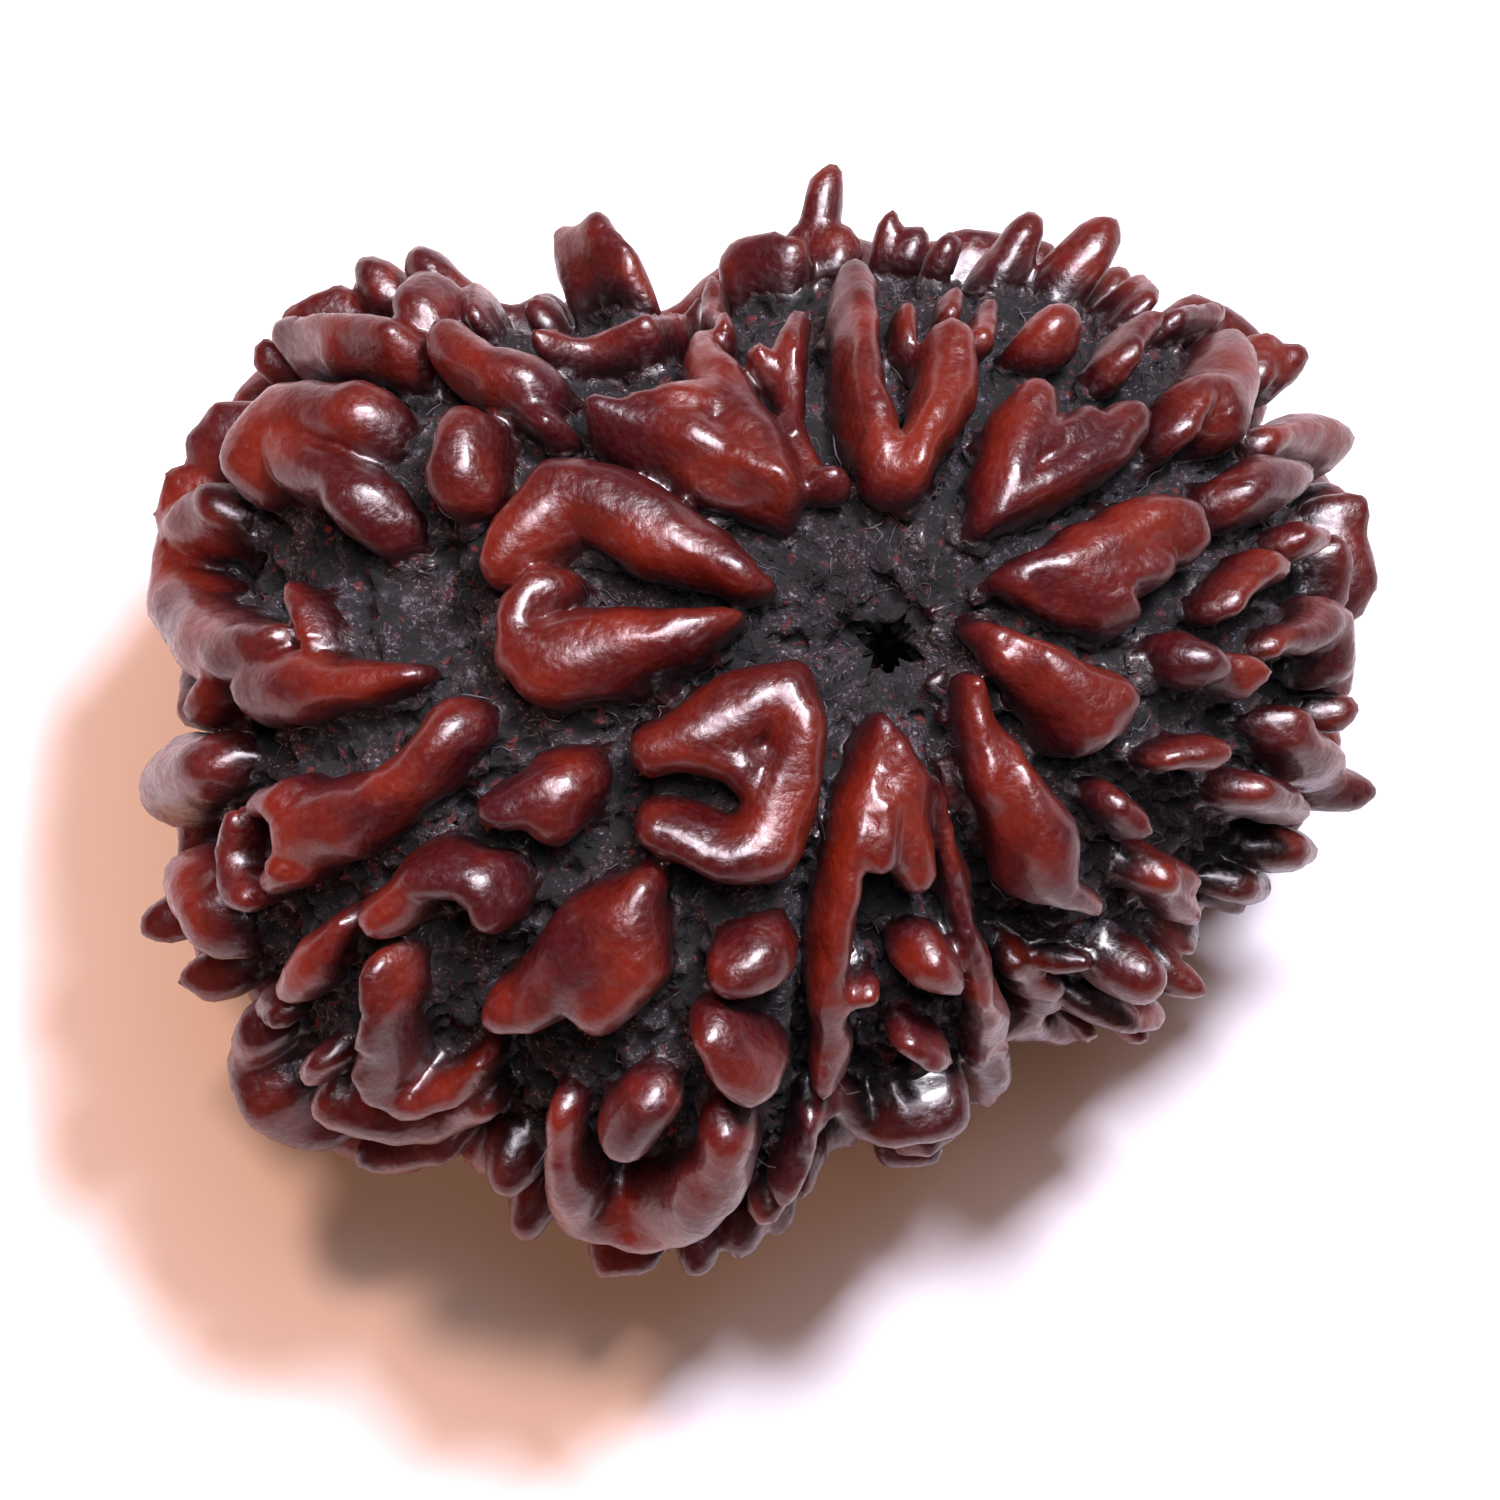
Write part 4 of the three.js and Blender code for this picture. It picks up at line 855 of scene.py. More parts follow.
def apply_modifier(piece: bpy.types.Object, kind: str, **settings: object) -> None:
    """Add a modifier to a piece and apply it.

    Args:
        piece: the piece.
        kind: the modifier's type.
        **settings: values for the modifier's properties.
    """
    pick(piece)
    modifier = piece.modifiers.new(kind.lower(), kind)
    for name, value in settings.items():
        setattr(modifier, name, value)
    bpy.ops.object.modifier_apply(modifier=modifier.name)


def places_of(piece: bpy.types.Object) -> np.ndarray:
    """Return the places of a piece's corners."""
    flat = np.empty(len(piece.data.vertices) * 3, np.float32)
    piece.data.vertices.foreach_get("co", flat)
    return flat.reshape(-1, 3).astype(float)


def move_to(piece: bpy.types.Object, places: np.ndarray) -> None:
    """Put a piece's corners at new places."""
    piece.data.vertices.foreach_set("co", places.astype(np.float32).ravel())
    piece.data.update()


def normals_of(piece: bpy.types.Object) -> np.ndarray:
    """Return the outward directions at a piece's corners."""
    flat = np.empty(len(piece.data.vertices) * 3, np.float32)
    piece.data.vertex_normals.foreach_get("vector", flat)
    return flat.reshape(-1, 3).astype(float)


def ease(low: float, high: float, values: np.ndarray) -> np.ndarray:
    """Return 0 at low, 1 at high, and a smooth step between, whichever of them is greater."""
    share = np.clip((values - low) / (high - low), 0, 1)
    return share * share * (3 - 2 * share)


def grain(places: np.ndarray, per_mm: float, octaves: int = 1) -> np.ndarray:
    """Give smooth noise at places.

    Args:
        places: places in millimetres.
        per_mm: lumps of the noise per millimetre.
        octaves: how many finer layers it has in all.

    Returns:
        A value from about -1 to 1 for each place.
    """
    if octaves == 1:
        return np.array([noise.noise(Vector(place)) for place in places * per_mm])
    return np.array([
        noise.fractal(Vector(place), 0.6, 2.1, octaves) for place in places * per_mm
    ])


def write_attribute(piece: bpy.types.Object, name: str, values: np.ndarray) -> None:
    """Store a value at each corner of a piece, for its material to read."""
    attribute = piece.data.attributes.new(name, "FLOAT", "POINT")
    attribute.data.foreach_set("value", values.astype(np.float32))


@dataclass
class SeedStone:
    """The whole seed stone as one closed mesh."""

    relief: Relief
    sphere_steps: int = 8
    voxel: float = 0.14
    face_limit: int = 197000
    bore_length: float = 30.0
    bore_sides: int = 40
    bulge: float = 0.1
    bulge_from: float = 0.3
    bulge_full: float = 0.85
    smooth_turns: int = 3
    smooth_factor: float = 0.5
    stray: float = 0.16
    stray_per_mm: float = 1.1
    wave_depth: float = 0.1
    wave_per_mm: float = 0.75
    dimple_depth: float = 0.05
    dimple_per_mm: float = 2.0
    rough_depth: float = 0.36
    rough_per_mm: float = 2.0
    rib_depth: float = 0.36
    ribs_per_turn: float = 5.5
    rib_reach: tuple[float, float] = (9.0, 2.5)
    valley_top: float = 0.3

    def build(self) -> bpy.types.Object:
        """Build the stone.

        Returns:
            The finished object, in metres in the frame.
        """
        piece = self.raise_surface()
        self.bore(piece)
        apply_modifier(piece, "REMESH", mode="VOXEL", voxel_size=self.voxel)
        self.swell(piece)
        apply_modifier(piece, "SMOOTH", factor=self.smooth_factor, iterations=self.smooth_turns)
        self.roughen(piece)
        ratio = self.face_limit / (2 * len(piece.data.polygons))
        apply_modifier(piece, "DECIMATE", ratio=min(1.0, ratio))
        self.finish(piece)
        return piece

    def raise_surface(self) -> bpy.types.Object:
        """Raise the lobes from a fine sphere by the relief's formula.

        Returns:
            The stone without its thread hole, in millimetres from the seed's middle.
        """
        deselect()
        bpy.ops.mesh.primitive_ico_sphere_add(subdivisions=self.sphere_steps, radius=1)
        piece = bpy.context.object
        piece.name = "rudraksha_stone"
        directions = unit(places_of(piece))
        places = self.relief.form.on_crest(directions)
        shift = self.stray * np.stack([grain(places + far, self.stray_per_mm) for far in (0, 40, 80)], 1)
        strayed = unit(places + shift)
        radii = self.relief.floor(directions) + self.relief.raised(strayed)
        move_to(piece, directions * radii[:, None])
        return piece

    def bore(self, piece: bpy.types.Object) -> None:
        """Cut the thread hole from pole to pole.

        Args:
            piece: the stone.
        """
        form = self.relief.form
        deselect()
        bpy.ops.mesh.primitive_cylinder_add(
            vertices=self.bore_sides, radius=form.hole_radius, depth=self.bore_length,
            location=(*form.pole, 0),
        )
        drill = bpy.context.object
        apply_modifier(piece, "BOOLEAN", object=drill, operation="DIFFERENCE", solver="MANIFOLD")
        bpy.data.objects.remove(drill)

    def heights(self, places: np.ndarray) -> tuple[np.ndarray, np.ndarray]:
        """Measure how high places stand above the floor.

        Args:
            places: places in millimetres from the seed's middle.

        Returns:
            The directions of the places and their heights.
        """
        lengths = np.linalg.norm(places, axis=1)
        directions = places / lengths[:, None]
        return directions, lengths - self.relief.floor(directions)

    def swell(self, piece: bpy.types.Object) -> None:
        """Swell the lobes sideways, so that their sides overhang their feet.

        Args:
            piece: the stone.
        """
        places = places_of(piece)
        directions, raised = self.heights(places)
        normals = normals_of(piece)
        sideways = 1 - np.abs((normals * directions).sum(1))
        amount = self.bulge * ease(self.bulge_from, self.bulge_full, raised) * sideways
        move_to(piece, places + normals * amount[:, None])

    def roughen(self, piece: bpy.types.Object) -> None:
        """Give the lobes a slow wave and the valleys a rough floor.

        Args:
            piece: the stone.
        """
        places = places_of(piece)
        raised = self.heights(places)[1]
        normals = normals_of(piece)
        high = ease(self.valley_top, 2 * self.valley_top, raised)
        wave = self.wave_depth * grain(places, self.wave_per_mm)
        dimples = self.dimple_depth * grain(places, self.dimple_per_mm)
        rough = self.rough_depth * grain(places, self.rough_per_mm, 3) + self.ribs(places)
        shift = (wave + dimples) * high + rough * (1 - high)
        move_to(piece, places + normals * shift[:, None])

    def ribs(self, places: np.ndarray) -> np.ndarray:
        """Give fine ribs that run out from the mouths of the thread hole, and fade.

        Args:
            places: places in millimetres from the seed's middle.

        Returns:
            A height in millimetres for each place.
        """
        out = places[:, :2] - np.array(self.relief.form.pole)
        radius = np.linalg.norm(out, axis=1)
        turned = out / np.maximum(radius, MM)[:, None] * self.ribs_per_turn
        spots = np.column_stack([turned, radius / 2])
        far, near = self.rib_reach
        return self.rib_depth * grain(spots, 1.0) * ease(far, near, radius)

    def finish(self, piece: bpy.types.Object) -> None:
        """Flatten the resting spots, store the heights and go to metres in the frame.

        Args:
            piece: the stone.
        """
        form = self.relief.form
        places = places_of(piece)
        raised = self.heights(places)[1]
        places[:, 2] = np.maximum(places[:, 2], -form.rest_depth)
        write_attribute(piece, "raised", raised)
        move_to(piece, form.to_frame(places))
        pick(piece)
        bpy.ops.object.shade_smooth()


def join_copies(copies: list[bpy.types.Object], name: str) -> bpy.types.Object:
    """Make one object of many copies.

    Args:
        copies: the copies, each with its own mesh and its place in its matrix.
        name: the name of the joined object.

    Returns:
        The joined object, at the origin, unturned and unscaled.
    """
    deselect()
    for copy in copies:
        copy.select_set(True)
    whole = copies[0]
    bpy.context.view_layer.objects.active = whole
    bpy.ops.object.join()
    bpy.ops.object.transform_apply(location=True, rotation=True, scale=True)
    whole.name = name
    return whole


@dataclass
class Valleys:
    """The finished stone's surface, asked for places in its valleys."""

    stone: bpy.types.Object
    form: StoneForm
    top: float = 0.32
    deepest: float = 1.2
    mouth: float = 1.1
    clear_of_rest: float = 0.6
    seed: int = 23

    def __post_init__(self) -> None:
        """Read the stone's corners and find those that lie in valleys."""
        mesh = self.stone.data
        self.places = places_of(self.stone)
        self.normals = normals_of(self.stone)
        raised = np.empty(len(mesh.vertices), np.float32)
        mesh.attributes["raised"].data.foreach_get("value", raised)
        self.pole = self.form.to_frame(np.array([*self.form.pole, 0.0]))
        self.out = np.linalg.norm(self.places[:, :2] - self.pole[:2], axis=1)
        floor = (raised < self.top) & (raised > -self.deepest)
        floor &= self.out > self.mouth * self.form.hole_radius * MM
        self.rows = np.flatnonzero(floor & (self.places[:, 2] > self.clear_of_rest * MM))
        self.draws = np.random.default_rng(self.seed)
        triangles = [tuple(face.vertices) for face in mesh.polygons]
        self.tree = BVHTree.FromPolygons([Vector(place) for place in self.places], triangles)

    def pick_rows(self, count: int, reach: float) -> np.ndarray:
        """Pick corners in the valleys at random, thicker near the thread hole.

        Args:
            count: how many.
            reach: how fast they thin out from the hole, in metres.

        Returns:
            The corners' numbers.
        """
        weight = 0.12 + np.exp(-self.out[self.rows] / reach)
        return self.draws.choice(self.rows, count, replace=False, p=weight / weight.sum())

    def on_surface(self, place: Vector) -> tuple[Vector, Vector]:
        """Return the nearest place on the stone and its outward direction."""
        spot, normal, _, _ = self.tree.find_nearest(place)
        return spot, normal


@dataclass
class ValleyCrumbs:
    """Loose crumbs that lie in the valleys."""

    valleys: Valleys
    count: int = 2600
    radii: tuple[float, float] = (0.02, 0.085)
    reach: float = 3.0
    flatness: float = 0.7

    def build(self) -> bpy.types.Object:
        """Build the crumbs as one piece.

        Returns:
            The finished object.
        """
        crumb = self.model_crumb()
        copies = []
        draws = self.valleys.draws
        for row in self.valleys.pick_rows(self.count, self.reach * MM):
            copy = crumb.copy()
            copy.data = crumb.data.copy()
            bpy.context.collection.objects.link(copy)
            radius = between(*self.radii, draws.random() ** 2.5) * MM
            turn = Vector(self.valleys.normals[row]).to_track_quat("Z", "Y").to_matrix().to_4x4()
            spin = Matrix.Rotation(draws.random() * math.tau, 4, "Z")
            stretch = between(0.7, 1.5, draws.random())
            size = Matrix.Diagonal((radius * stretch, radius, radius * self.flatness, 1))
            copy.matrix_world = Matrix.Translation(self.valleys.places[row]) @ turn @ spin @ size
            copies.append(copy)
        bpy.data.objects.remove(crumb)
        return join_copies(copies, "valley_crumbs")

    def model_crumb(self) -> bpy.types.Object:
        """Model one crumb of radius 1, with knocked corners and a cut side."""
        deselect()
        bpy.ops.mesh.primitive_ico_sphere_add(subdivisions=1, radius=1)
        crumb = bpy.context.object
        bpy.ops.object.mode_set(mode="EDIT")
        bpy.ops.mesh.select_all(action="SELECT")
        bpy.ops.transform.vertex_random(offset=0.35, seed=5)
        bpy.ops.mesh.bisect(
            plane_co=(0.55, 0, 0.1), plane_no=(1, 0.2, 0.3), clear_outer=True, use_fill=True
        )
        bpy.ops.mesh.select_all(action="SELECT")
        bpy.ops.mesh.quads_convert_to_tris()
        bpy.ops.object.mode_set(mode="OBJECT")
        return crumb


@dataclass
class ValleyFibres:
    """Dry fibres that lie in the valleys, mostly outwards from the thread hole, and rim hairs."""

    valleys: Valleys
    count: int = 1100
    rings: int = 7
    step: tuple[float, float] = (0.05, 0.2)
    radii: tuple[float, float] = (0.007, 0.018)
    reach: float = 3.2
    wander: float = 0.5
    lift: float = 0.03
    arch: float = 0.12
    hair_radius: float = 0.012
    hairs: tuple[tuple[tuple[float, float, float], ...], ...] = (
        ((1.44, -8.8, 4.5), (1.7, -9.0, 4.7), (1.96, -9.06, 5.2)),
        ((-4.6, -10.3, 4.0), (-4.5, -10.5, 4.3), (-4.42, -10.4, 4.6)),
        ((0.1, -10.2, 4.2), (0.14, -10.4, 4.5), (0.3, -10.5, 4.8)),
    )

    def build(self) -> bpy.types.Object:
        """Build the fibres as one piece.

        Returns:
            The finished object.
        """
        strand = self.model_strand()
        copies = []
        draws = self.valleys.draws
        for row in self.valleys.pick_rows(self.count, self.reach * MM):
            path = self.lie(row)
            copies.append(self.follow(strand, path, between(*self.radii, draws.random() ** 2) * MM))
        for hair in self.hairs:
            copies.append(self.follow(strand, self.hang(hair), self.hair_radius * MM))
        bpy.data.objects.remove(strand)
        return join_copies(copies, "valley_fibres")

    def model_strand(self) -> bpy.types.Object:
        """Model one straight strand of radius 1, a ring at each whole number of height."""
        deselect()
        bpy.ops.mesh.primitive_circle_add(vertices=4, radius=1, fill_type="NGON")
        strand = bpy.context.object
        bpy.ops.object.mode_set(mode="EDIT")
        bpy.ops.mesh.select_all(action="SELECT")
        bpy.ops.mesh.flip_normals()
        for _ in range(self.rings - 1):
            bpy.ops.mesh.extrude_region_move(TRANSFORM_OT_translate={"value": (0, 0, 1)})
        bpy.ops.mesh.select_all(action="SELECT")
        bpy.ops.mesh.normals_make_consistent(inside=False)
        bpy.ops.object.mode_set(mode="OBJECT")
        return strand

    def lie(self, row: int) -> np.ndarray:
        """Lay a path over the valley floor from one corner of the stone.

        Args:
            row: the corner's number.

        Returns:
            A place for each ring, in metres in the frame.
        """
        valleys, draws = self.valleys, self.valleys.draws
        spot = Vector(valleys.places[row])
        normal = Vector(valleys.normals[row])
        heading = spot - Vector(valleys.pole)
        heading = Matrix.Rotation(self.wander * draws.normal(), 3, normal) @ heading
        bend = 0.25 * draws.normal()
        step = between(*self.step, draws.random()) * MM
        path = []
        for ring in range(self.rings):
            share = ring / (self.rings - 1)
            lift = self.lift + self.arch * math.sin(math.pi * share) * draws.random()
            path.append(np.array(spot + normal * lift * MM))
            heading = (heading - normal * heading.dot(normal)).normalized()
            heading = Matrix.Rotation(bend, 3, normal) @ heading
            spot, normal = valleys.on_surface(spot + heading * step)
        places = np.array(path)
        places[:, 2] = np.maximum(places[:, 2], self.radii[1] * MM)
        return places

    def hang(self, points: tuple[tuple[float, float, float], ...]) -> np.ndarray:
        """Return a rim hair's path through its points, from the stone's surface out."""
        places = self.valleys.form.to_frame(np.array(points))
        places[0] = self.valleys.on_surface(Vector(places[0]))[0]
        spots = np.linspace(0, len(places) - 1, self.rings)
        return np.stack([np.interp(spots, range(len(places)), places[:, axis]) for axis in range(3)], 1)

    def follow(self, strand: bpy.types.Object, path: np.ndarray, radius: float) -> bpy.types.Object:
        """Copy the strand and bend the copy along a path.

        Args:
            strand: the straight strand.
            path: a place for each ring.
            radius: the radius in the middle, which tapers to the ends.

        Returns:
            The copy, with its own mesh.
        """
        copy = strand.copy()
        copy.data = strand.data.copy()
        bpy.context.collection.objects.link(copy)
        local = places_of(strand)
        rings = np.clip(np.round(local[:, 2]).astype(int), 0, self.rings - 1)
        ahead = unit(np.gradient(path, axis=0) + 1e-9)
        side = unit(np.cross(ahead, np.array([0.13, 0.21, 0.97])))
        other = np.cross(ahead, side)
        taper = radius * (0.35 + 0.65 * np.sin(math.pi * (0.1 + 0.8 * rings / (self.rings - 1))))
        offset = side[rings] * local[:, :1] + other[rings] * local[:, 1:2]
        move_to(copy, path[rings] + offset * taper[:, None])
        return copy


class NodeBoard:
    """A short way to place shader nodes in a tree and join them."""

    def __init__(self, tree: bpy.types.NodeTree) -> None:
        """Start on a tree."""
        self.tree = tree

    def add(self, kind: str, **values: object) -> bpy.types.Node:
        """Add a node.

        Args:
            kind: the node's type, without the words ShaderNode.
            **values: properties of the node, or inputs by name with underscores for spaces.

        Returns:
            The node.
        """
        node = self.tree.nodes.new("ShaderNode" + kind)
        for name, value in values.items():
            if hasattr(node, name):
                setattr(node, name, value)
            else:
                self.feed(node.inputs[name.replace("_", " ")], value)
        return node

    def feed(self, socket: bpy.types.NodeSocket, value: object) -> None:
        """Set a socket's value, or join another socket to it."""
        if isinstance(value, bpy.types.NodeSocket):
            self.tree.links.new(value, socket)
        else:
            socket.default_value = value

    def math(self, operation: str, first: object, second: object = 0.0) -> bpy.types.NodeSocket:
        """Return the result of a sum on one or two values."""
        node = self.tree.nodes.new("ShaderNodeMath")
        node.operation = operation
        self.feed(node.inputs[0], first)
        self.feed(node.inputs[1], second)
        return node.outputs[0]

    def mix(self, share: object, first: object, second: object) -> bpy.types.NodeSocket:
        """Return a mix of two colours."""
        node = self.tree.nodes.new("ShaderNodeMix")
        node.data_type = "RGBA"
        self.feed(node.inputs[0], share)
        self.feed(node.inputs[6], first)
        self.feed(node.inputs[7], second)
        return node.outputs[2]

    def span(
        self, value: object, low: float, high: float, start: float = 0.0, end: float = 1.0
    ) -> bpy.types.NodeSocket:
        """Return a value's smooth step from low to high, as start to end."""
        node = self.tree.nodes.new("ShaderNodeMapRange")
        node.interpolation_type = "SMOOTHSTEP"
        self.feed(node.inputs["Value"], value)
        node.inputs["From Min"].default_value = low
        node.inputs["From Max"].default_value = high
        node.inputs["To Min"].default_value = start
        node.inputs["To Max"].default_value = end
        return node.outputs["Result"]

    def vector(self, operation: str, first: object, **others: object) -> bpy.types.NodeSocket:
        """Return the result of a sum on a vector.

        Args:
            operation: what is done.
            first: the vector.
            **others: a second vector as other, or a number as scale.

        Returns:
            A vector, or the number that LENGTH gives.
        """
        node = self.tree.nodes.new("ShaderNodeVectorMath")
        node.operation = operation
        self.feed(node.inputs[0], first)
        if "other" in others:
            self.feed(node.inputs[1], others["other"])
        if "scale" in others:
            self.feed(node.inputs["Scale"], others["scale"])
        return node.outputs["Value" if operation == "LENGTH" else "Vector"]

    def group(self, tree: bpy.types.NodeTree, **values: object) -> bpy.types.Node:
        """Place a node group.

        Args:
            tree: the group.
            **values: its inputs by name.

        Returns:
            The node.
        """
        node = self.tree.nodes.new("ShaderNodeGroup")
        node.node_tree = tree
        for name, value in values.items():
            self.feed(node.inputs[name], value)
        return node

    def noise(self, place: object, scale: object, detail: float = 2.0) -> bpy.types.NodeSocket:
        """Return noise at a place, lumps per metre by scale."""
        node = self.add("TexNoise", Vector=place, Scale=scale, Detail=detail)
        return node.outputs["Fac"]


Colour = tuple[float, float, float, float]


@dataclass(frozen=True)
class ValleyDust:
    """The dusty colour of the valleys: near-black with specks and streaks of grey and dark red."""

    soot: Colour = (0.001, 0.0005, 0.0008, 1)
    earth: Colour = (0.008, 0.002, 0.003, 1)
    dust: Colour = (0.024, 0.02, 0.03, 1)
    rust: Colour = (0.06, 0.006, 0.008, 1)
    motes: Colour = (0.13, 0.12, 0.165, 1)
    specks_per_m: float = 5600
    clumps_per_m: float = 1100
    rust_per_m: float = 3000
    motes_per_m: float = 12500
    streaks_per_radian: float = 26.0
    streak_length: float = 0.0018

    def build(self, pole: tuple[float, float, float]) -> bpy.types.NodeTree:
        """Build the node group.

        Args:
            pole: the middle of the thread hole, in metres in the frame.

        Returns:
            A group with a Vector and a Scale input, and Colour and Height outputs.
        """
        group = bpy.data.node_groups.new("valley_dust", "ShaderNodeTree")
        face = group.interface
        face.new_socket("Vector", in_out="INPUT", socket_type="NodeSocketVector")
        face.new_socket("Scale", in_out="INPUT", socket_type="NodeSocketFloat")
        face.new_socket("Colour", in_out="OUTPUT", socket_type="NodeSocketColor")
        face.new_socket("Height", in_out="OUTPUT", socket_type="NodeSocketFloat")
        board = NodeBoard(group)
        start = group.nodes.new("NodeGroupInput")
        end = group.nodes.new("NodeGroupOutput")
        place, scale = start.outputs["Vector"], start.outputs["Scale"]

        streak = self.streaks(board, place, pole)
        speck = board.noise(place, board.math("MULTIPLY", scale, self.specks_per_m), 4)
        clump = board.noise(place, board.math("MULTIPLY", scale, self.clumps_per_m), 3)
        mixed = board.math("ADD", board.math("MULTIPLY", speck, 0.5), board.math("MULTIPLY", streak, 0.28))
        mixed = board.math("ADD", mixed, board.math("MULTIPLY", clump, 0.34))
        colour = board.mix(board.span(clump, 0.4, 0.66), self.soot, self.earth)
        red = board.noise(place, board.math("MULTIPLY", scale, self.rust_per_m), 3)
        colour = board.mix(board.span(red, 0.6, 0.68), colour, self.rust)
        colour = board.mix(board.span(mixed, 0.55, 0.72), colour, self.dust)
        mote = board.noise(place, board.math("MULTIPLY", scale, self.motes_per_m), 2)
        mote = board.math("MULTIPLY", board.span(mote, 0.6, 0.7), board.span(clump, 0.38, 0.62))
        colour = board.mix(mote, colour, self.motes)
        board.feed(end.inputs["Colour"], colour)
        board.feed(end.inputs["Height"], mixed)
        return group

    def streaks(
        self, board: "NodeBoard", place: bpy.types.NodeSocket, pole: tuple[float, float, float]
    ) -> bpy.types.NodeSocket:
        """Return noise drawn out into streaks that run out from the thread hole."""
        out = board.vector("SUBTRACT", place, other=pole)
        flat = board.vector("MULTIPLY", out, other=(1, 1, 0))
        turned = board.vector("SCALE", board.vector("NORMALIZE", flat), scale=self.streaks_per_radian)
        along = board.math("DIVIDE", board.vector("LENGTH", out), self.streak_length)
        spot = board.vector("ADD", turned, other=board.add("CombineXYZ", Z=along).outputs[0])
        return board.noise(spot, 1.0, 3)


@dataclass(frozen=True)
class WaxyStone:
    """The stone's finish: waxy reddish brown lobes with painted shade at their feet, over rough, dusty,
    near-black valleys.
    """

    red: Colour = (0.035, 0.0011, 0.0015, 1)
    orange: Colour = (0.105, 0.0085, 0.0028, 1)
    # Painted shade: a deep red-black that darkens the lobes' lower flanks, where shade falls between them.
    painted_shade: Colour = (0.008, 0.0004, 0.0008, 1)
    violet: Colour = (0.03, 0.0014, 0.004, 1)
    roughness: float = 0.4
    valley_roughness: tuple[float, float] = (0.97, 0.5)
    edge_per_m: float = 1700
    tone_per_m: float = 160
    patch_per_m: float = 420
    grain_per_m: float = 6500
    dimples_per_m: float = 1500

    def build(self, dust: bpy.types.NodeTree) -> bpy.types.Material:
        """Build the material.

        Args:
            dust: the node group of the valleys' dusty colour.

        Returns:
            The material.
        """
        material = bpy.data.materials.new("waxy_seed_stone")
        material.use_nodes = True
        board = NodeBoard(material.node_tree)
        shader = material.node_tree.nodes["Principled BSDF"]
        place = board.add("TexCoord").outputs["Object"]
        raised = board.add("Attribute", attribute_name="raised").outputs["Fac"]
        valley = board.group(dust, Vector=place, Scale=1.0)
        ragged = board.math("MULTIPLY", board.noise(place, self.edge_per_m, 5), 0.9)
        lobe = board.span(board.math("ADD", raised, ragged), 0.68, 1.0)

        slow = board.noise(place, self.tone_per_m, 2)
        patch = board.noise(place, self.patch_per_m, 3)
        base = board.mix(board.span(slow, 0.35, 0.65), self.red, self.violet)
        crest = board.math("MULTIPLY", board.span(raised, 0.7, 1.5), board.span(patch, 0.35, 0.7))
        base = board.mix(crest, base, self.orange)
        # Painted shade: the lower a point stands on a lobe, the more it darkens towards the deep red-black.
        painted_shade_share = board.span(raised, 1.25, 0.5)
        base = board.mix(board.math("MULTIPLY", painted_shade_share, 0.9), base, self.painted_shade)
        board.feed(shader.inputs["Base Color"], board.mix(lobe, valley.outputs["Colour"], base))

        fine = board.noise(place, self.grain_per_m, 3)
        gloss = board.span(fine, 0.3, 0.7, self.roughness - 0.08, self.roughness + 0.1)
        rough = board.add("MapRange", Value=lobe)
        glint = board.span(valley.outputs["Height"], 0.58, 0.7, *self.valley_roughness)
        board.feed(rough.inputs["To Min"], glint)
        board.feed(rough.inputs["To Max"], gloss)
        board.feed(shader.inputs["Roughness"], rough.outputs["Result"])
        board.feed(shader.inputs["Coat Weight"], board.math("MULTIPLY", lobe, 0.4))

        dimples = board.math("MULTIPLY", board.noise(place, self.dimples_per_m, 2), 1.5)
        wax = board.math("ADD", dimples, board.math("MULTIPLY", fine, 0.5))
        relief = board.add("MapRange", Value=lobe)
        board.feed(relief.inputs["To Min"], board.math("MULTIPLY", valley.outputs["Height"], 5.0))
        board.feed(relief.inputs["To Max"], wax)
        bump = board.add("Bump", Height=relief.outputs["Result"], Strength=0.6, Distance=0.0001)
        board.feed(shader.inputs["Normal"], bump.outputs["Normal"])

        shader.inputs["Coat Roughness"].default_value = 0.2
        shader.inputs["Subsurface Weight"].default_value = 0.06
        shader.inputs["Subsurface Radius"].default_value = (1.0, 0.25, 0.1)
        shader.inputs["Subsurface Scale"].default_value = 0.0006
        shader.inputs["Specular IOR Level"].default_value = 0.36
        return material


@dataclass(frozen=True)
class DryCrumb:
    """The finish of loose crumbs of dry pulp and dust."""

    roughness: float = 0.9

    def build(self, dust: bpy.types.NodeTree) -> bpy.types.Material:
        """Build the material.

        Args:
            dust: the node group of the valleys' dusty colour.

        Returns:
            The material.
        """
        material = bpy.data.materials.new("dry_crumbs")
        material.use_nodes = True
        board = NodeBoard(material.node_tree)
        shader = material.node_tree.nodes["Principled BSDF"]
        place = board.add("TexCoord").outputs["Object"]
        crumb = board.group(dust, Vector=place, Scale=0.45)
        board.feed(shader.inputs["Base Color"], crumb.outputs["Colour"])
        bump = board.add("Bump", Height=crumb.outputs["Height"], Strength=0.5, Distance=0.00005)
        board.feed(shader.inputs["Normal"], bump.outputs["Normal"])
        shader.inputs["Roughness"].default_value = self.roughness
        shader.inputs["Specular IOR Level"].default_value = 0.2
        return material


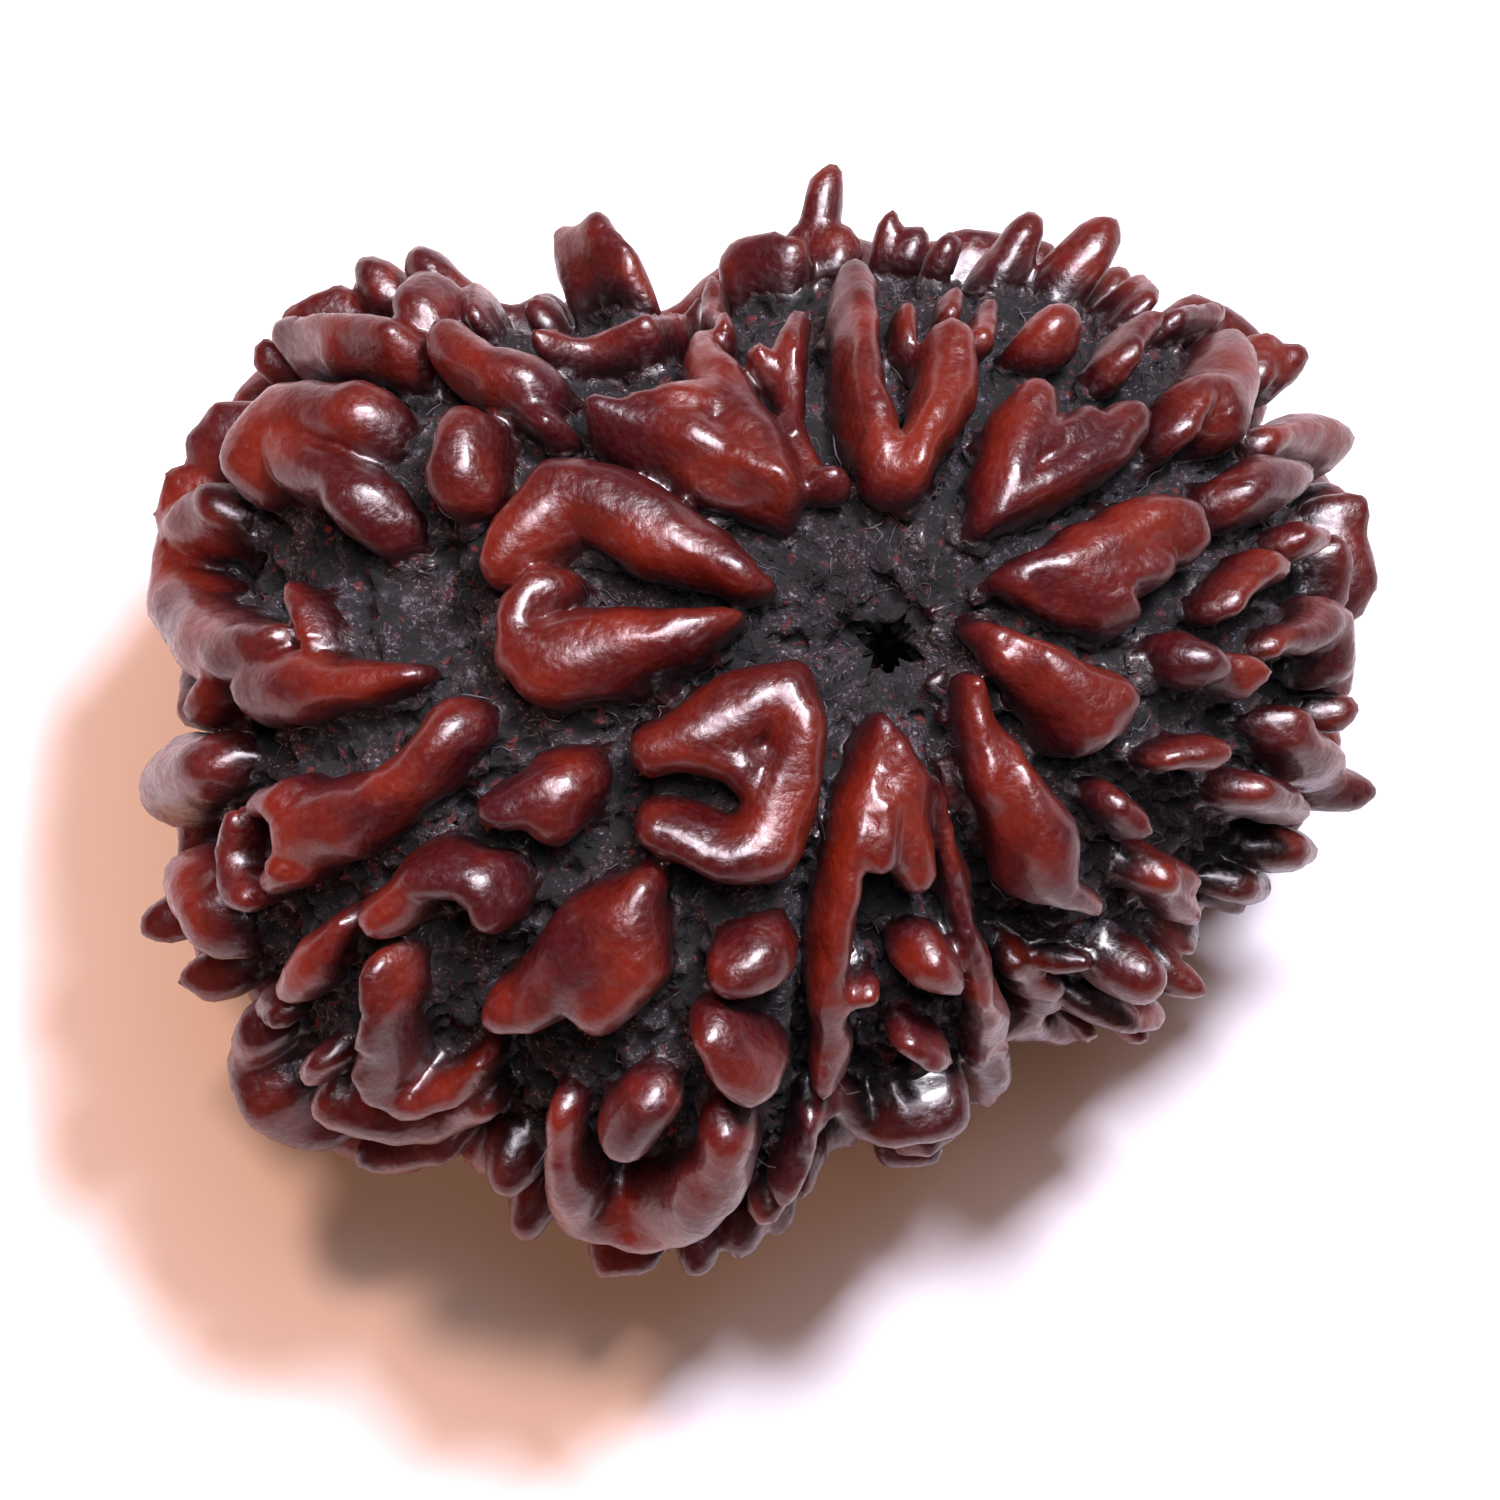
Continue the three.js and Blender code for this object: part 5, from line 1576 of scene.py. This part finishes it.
@dataclass(frozen=True)
class DryFibre:
    """The finish of dry plant fibres."""

    pale: Colour = (0.1, 0.09, 0.12, 1)
    dark: Colour = (0.012, 0.006, 0.008, 1)
    roughness: float = 0.65

    def build(self) -> bpy.types.Material:
        """Build the material.

        Returns:
            The material.
        """
        material = bpy.data.materials.new("dry_fibre")
        material.use_nodes = True
        board = NodeBoard(material.node_tree)
        shader = material.node_tree.nodes["Principled BSDF"]
        place = board.add("TexCoord").outputs["Object"]
        tone = board.span(board.noise(place, 1300, 3), 0.42, 0.68)
        board.feed(shader.inputs["Base Color"], board.mix(tone, self.dark, self.pale))
        shader.inputs["Roughness"].default_value = self.roughness
        shader.inputs["Specular IOR Level"].default_value = 0.3
        return material


class Shine(Enum):
    """What a light adds: everything, all but glints, or glints alone."""

    ALL = "all"
    DULL = "dull"
    GLINT = "glint"


@dataclass(frozen=True)
class Lamp:
    """A soft square light: place and width in metres, power in watts, tint and kind of shine."""

    name: str
    place: tuple[float, float, float]
    size: float
    power: float
    tint: tuple[float, float, float]
    shine: Shine


@dataclass
class Studio:
    """The plain pale floor, the soft light and the camera."""

    form: StoneForm
    frame_width: float = 30.0
    aim: tuple[float, float] = (-0.2, -0.7)
    lens: float = 500.0
    sensor: float = 36.0
    floor_size: float = 1.2
    lamps: tuple[Lamp, ...] = (
        Lamp("key", (0.16, 0.16, 0.556), 0.1, 7.0, (0.93, 0.93, 1.0), Shine.ALL),
        Lamp("warm_top", (-0.124, 0.124, 0.574), 0.08, 3.6, (1.0, 0.57, 0.34), Shine.DULL),
        Lamp("warm_low", (-0.26, -0.24, 0.16), 0.2, 1.0, (1.0, 0.5, 0.23), Shine.DULL),
        Lamp("sheen", (0.06, 0.07, 0.62), 0.34, 10.0, (0.97, 0.88, 1.0), Shine.GLINT),
    )

    def build(self) -> None:
        """Set up the floor, the lights and the camera."""
        self.lay_floor()
        for lamp in self.lamps:
            self.hang(lamp)
        world = bpy.context.scene.world or bpy.data.worlds.new("studio")
        bpy.context.scene.world = world
        world.use_nodes = True
        background = world.node_tree.nodes["Background"]
        background.inputs["Color"].default_value = (0.93, 0.94, 1.0, 1)
        background.inputs["Strength"].default_value = 0.045
        bpy.context.scene.view_settings.view_transform = "Standard"
        self.place_camera()

    def lay_floor(self) -> None:
        """Lay the pale floor that the seed rests on."""
        deselect()
        bpy.ops.mesh.primitive_plane_add(size=self.floor_size)
        floor = bpy.context.object
        floor.name = "pale_floor"
        material = bpy.data.materials.new("pale_floor")
        material.use_nodes = True
        shader = material.node_tree.nodes["Principled BSDF"]
        shader.inputs["Base Color"].default_value = (0.56, 0.52, 0.6, 1)
        shader.inputs["Roughness"].default_value = 0.6
        floor.data.materials.append(material)

    def hang(self, lamp: Lamp) -> None:
        """Hang a soft square light that shines on the seed.

        Args:
            lamp: the light's place, size, power and tint.
        """
        deselect()
        aim = Vector((0, 0, self.form.rest_depth * MM)) - Vector(lamp.place)
        turn = aim.to_track_quat("-Z", "Y").to_euler()
        bpy.ops.object.light_add(type="AREA", location=lamp.place, rotation=turn)
        light = bpy.context.object
        light.name = lamp.name
        light.data.size = lamp.size
        light.data.energy = lamp.power
        light.data.color = lamp.tint
        light.visible_glossy = lamp.shine is not Shine.DULL
        light.visible_diffuse = lamp.shine is not Shine.GLINT

    def place_camera(self) -> None:
        """Look down on the seed as the photograph does, from far off."""
        right, up, toward = self.form.sight(Side.ABOVE)
        target = self.form.to_frame(self.aim[0] * right + self.aim[1] * up)
        distance = self.frame_width * MM * self.lens / self.sensor
        place = Vector(target + toward * distance)
        turn = Vector(-toward).to_track_quat("-Z", "Y").to_euler()
        deselect()
        bpy.ops.object.camera_add(location=place, rotation=turn)
        camera = bpy.context.object
        camera.data.lens = self.lens
        camera.data.sensor_width = self.sensor
        camera.data.clip_start = 0.01
        camera.data.clip_end = 5.0
        bpy.context.scene.camera = camera


def main() -> None:
    """Build the seed and its studio, and report each piece."""
    logging.basicConfig(level=logging.INFO, format="%(name)s: %(message)s")
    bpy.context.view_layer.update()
    form = StoneForm()
    relief = Relief(form)
    LOG.info("relief: %d lobe links", len(relief.lobes.starts))
    stone = SeedStone(relief).build()
    stone.data.materials.clear()
    valleys = Valleys(stone, form)
    dust = ValleyDust().build(tuple(valleys.pole))
    stone.data.materials.append(WaxyStone().build(dust))
    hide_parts(NODE)
    crumbs = ValleyCrumbs(valleys).build()
    crumbs.data.materials.append(DryCrumb().build(dust))
    fibres = ValleyFibres(valleys).build()
    fibres.data.materials.append(DryFibre().build())
    for piece in (stone, crumbs, fibres):
        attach(piece, BODY)
        LOG.info("%s: %d faces", piece.name, len(piece.data.polygons))
    Studio(form).build()


if __name__ == "__main__":
    main()
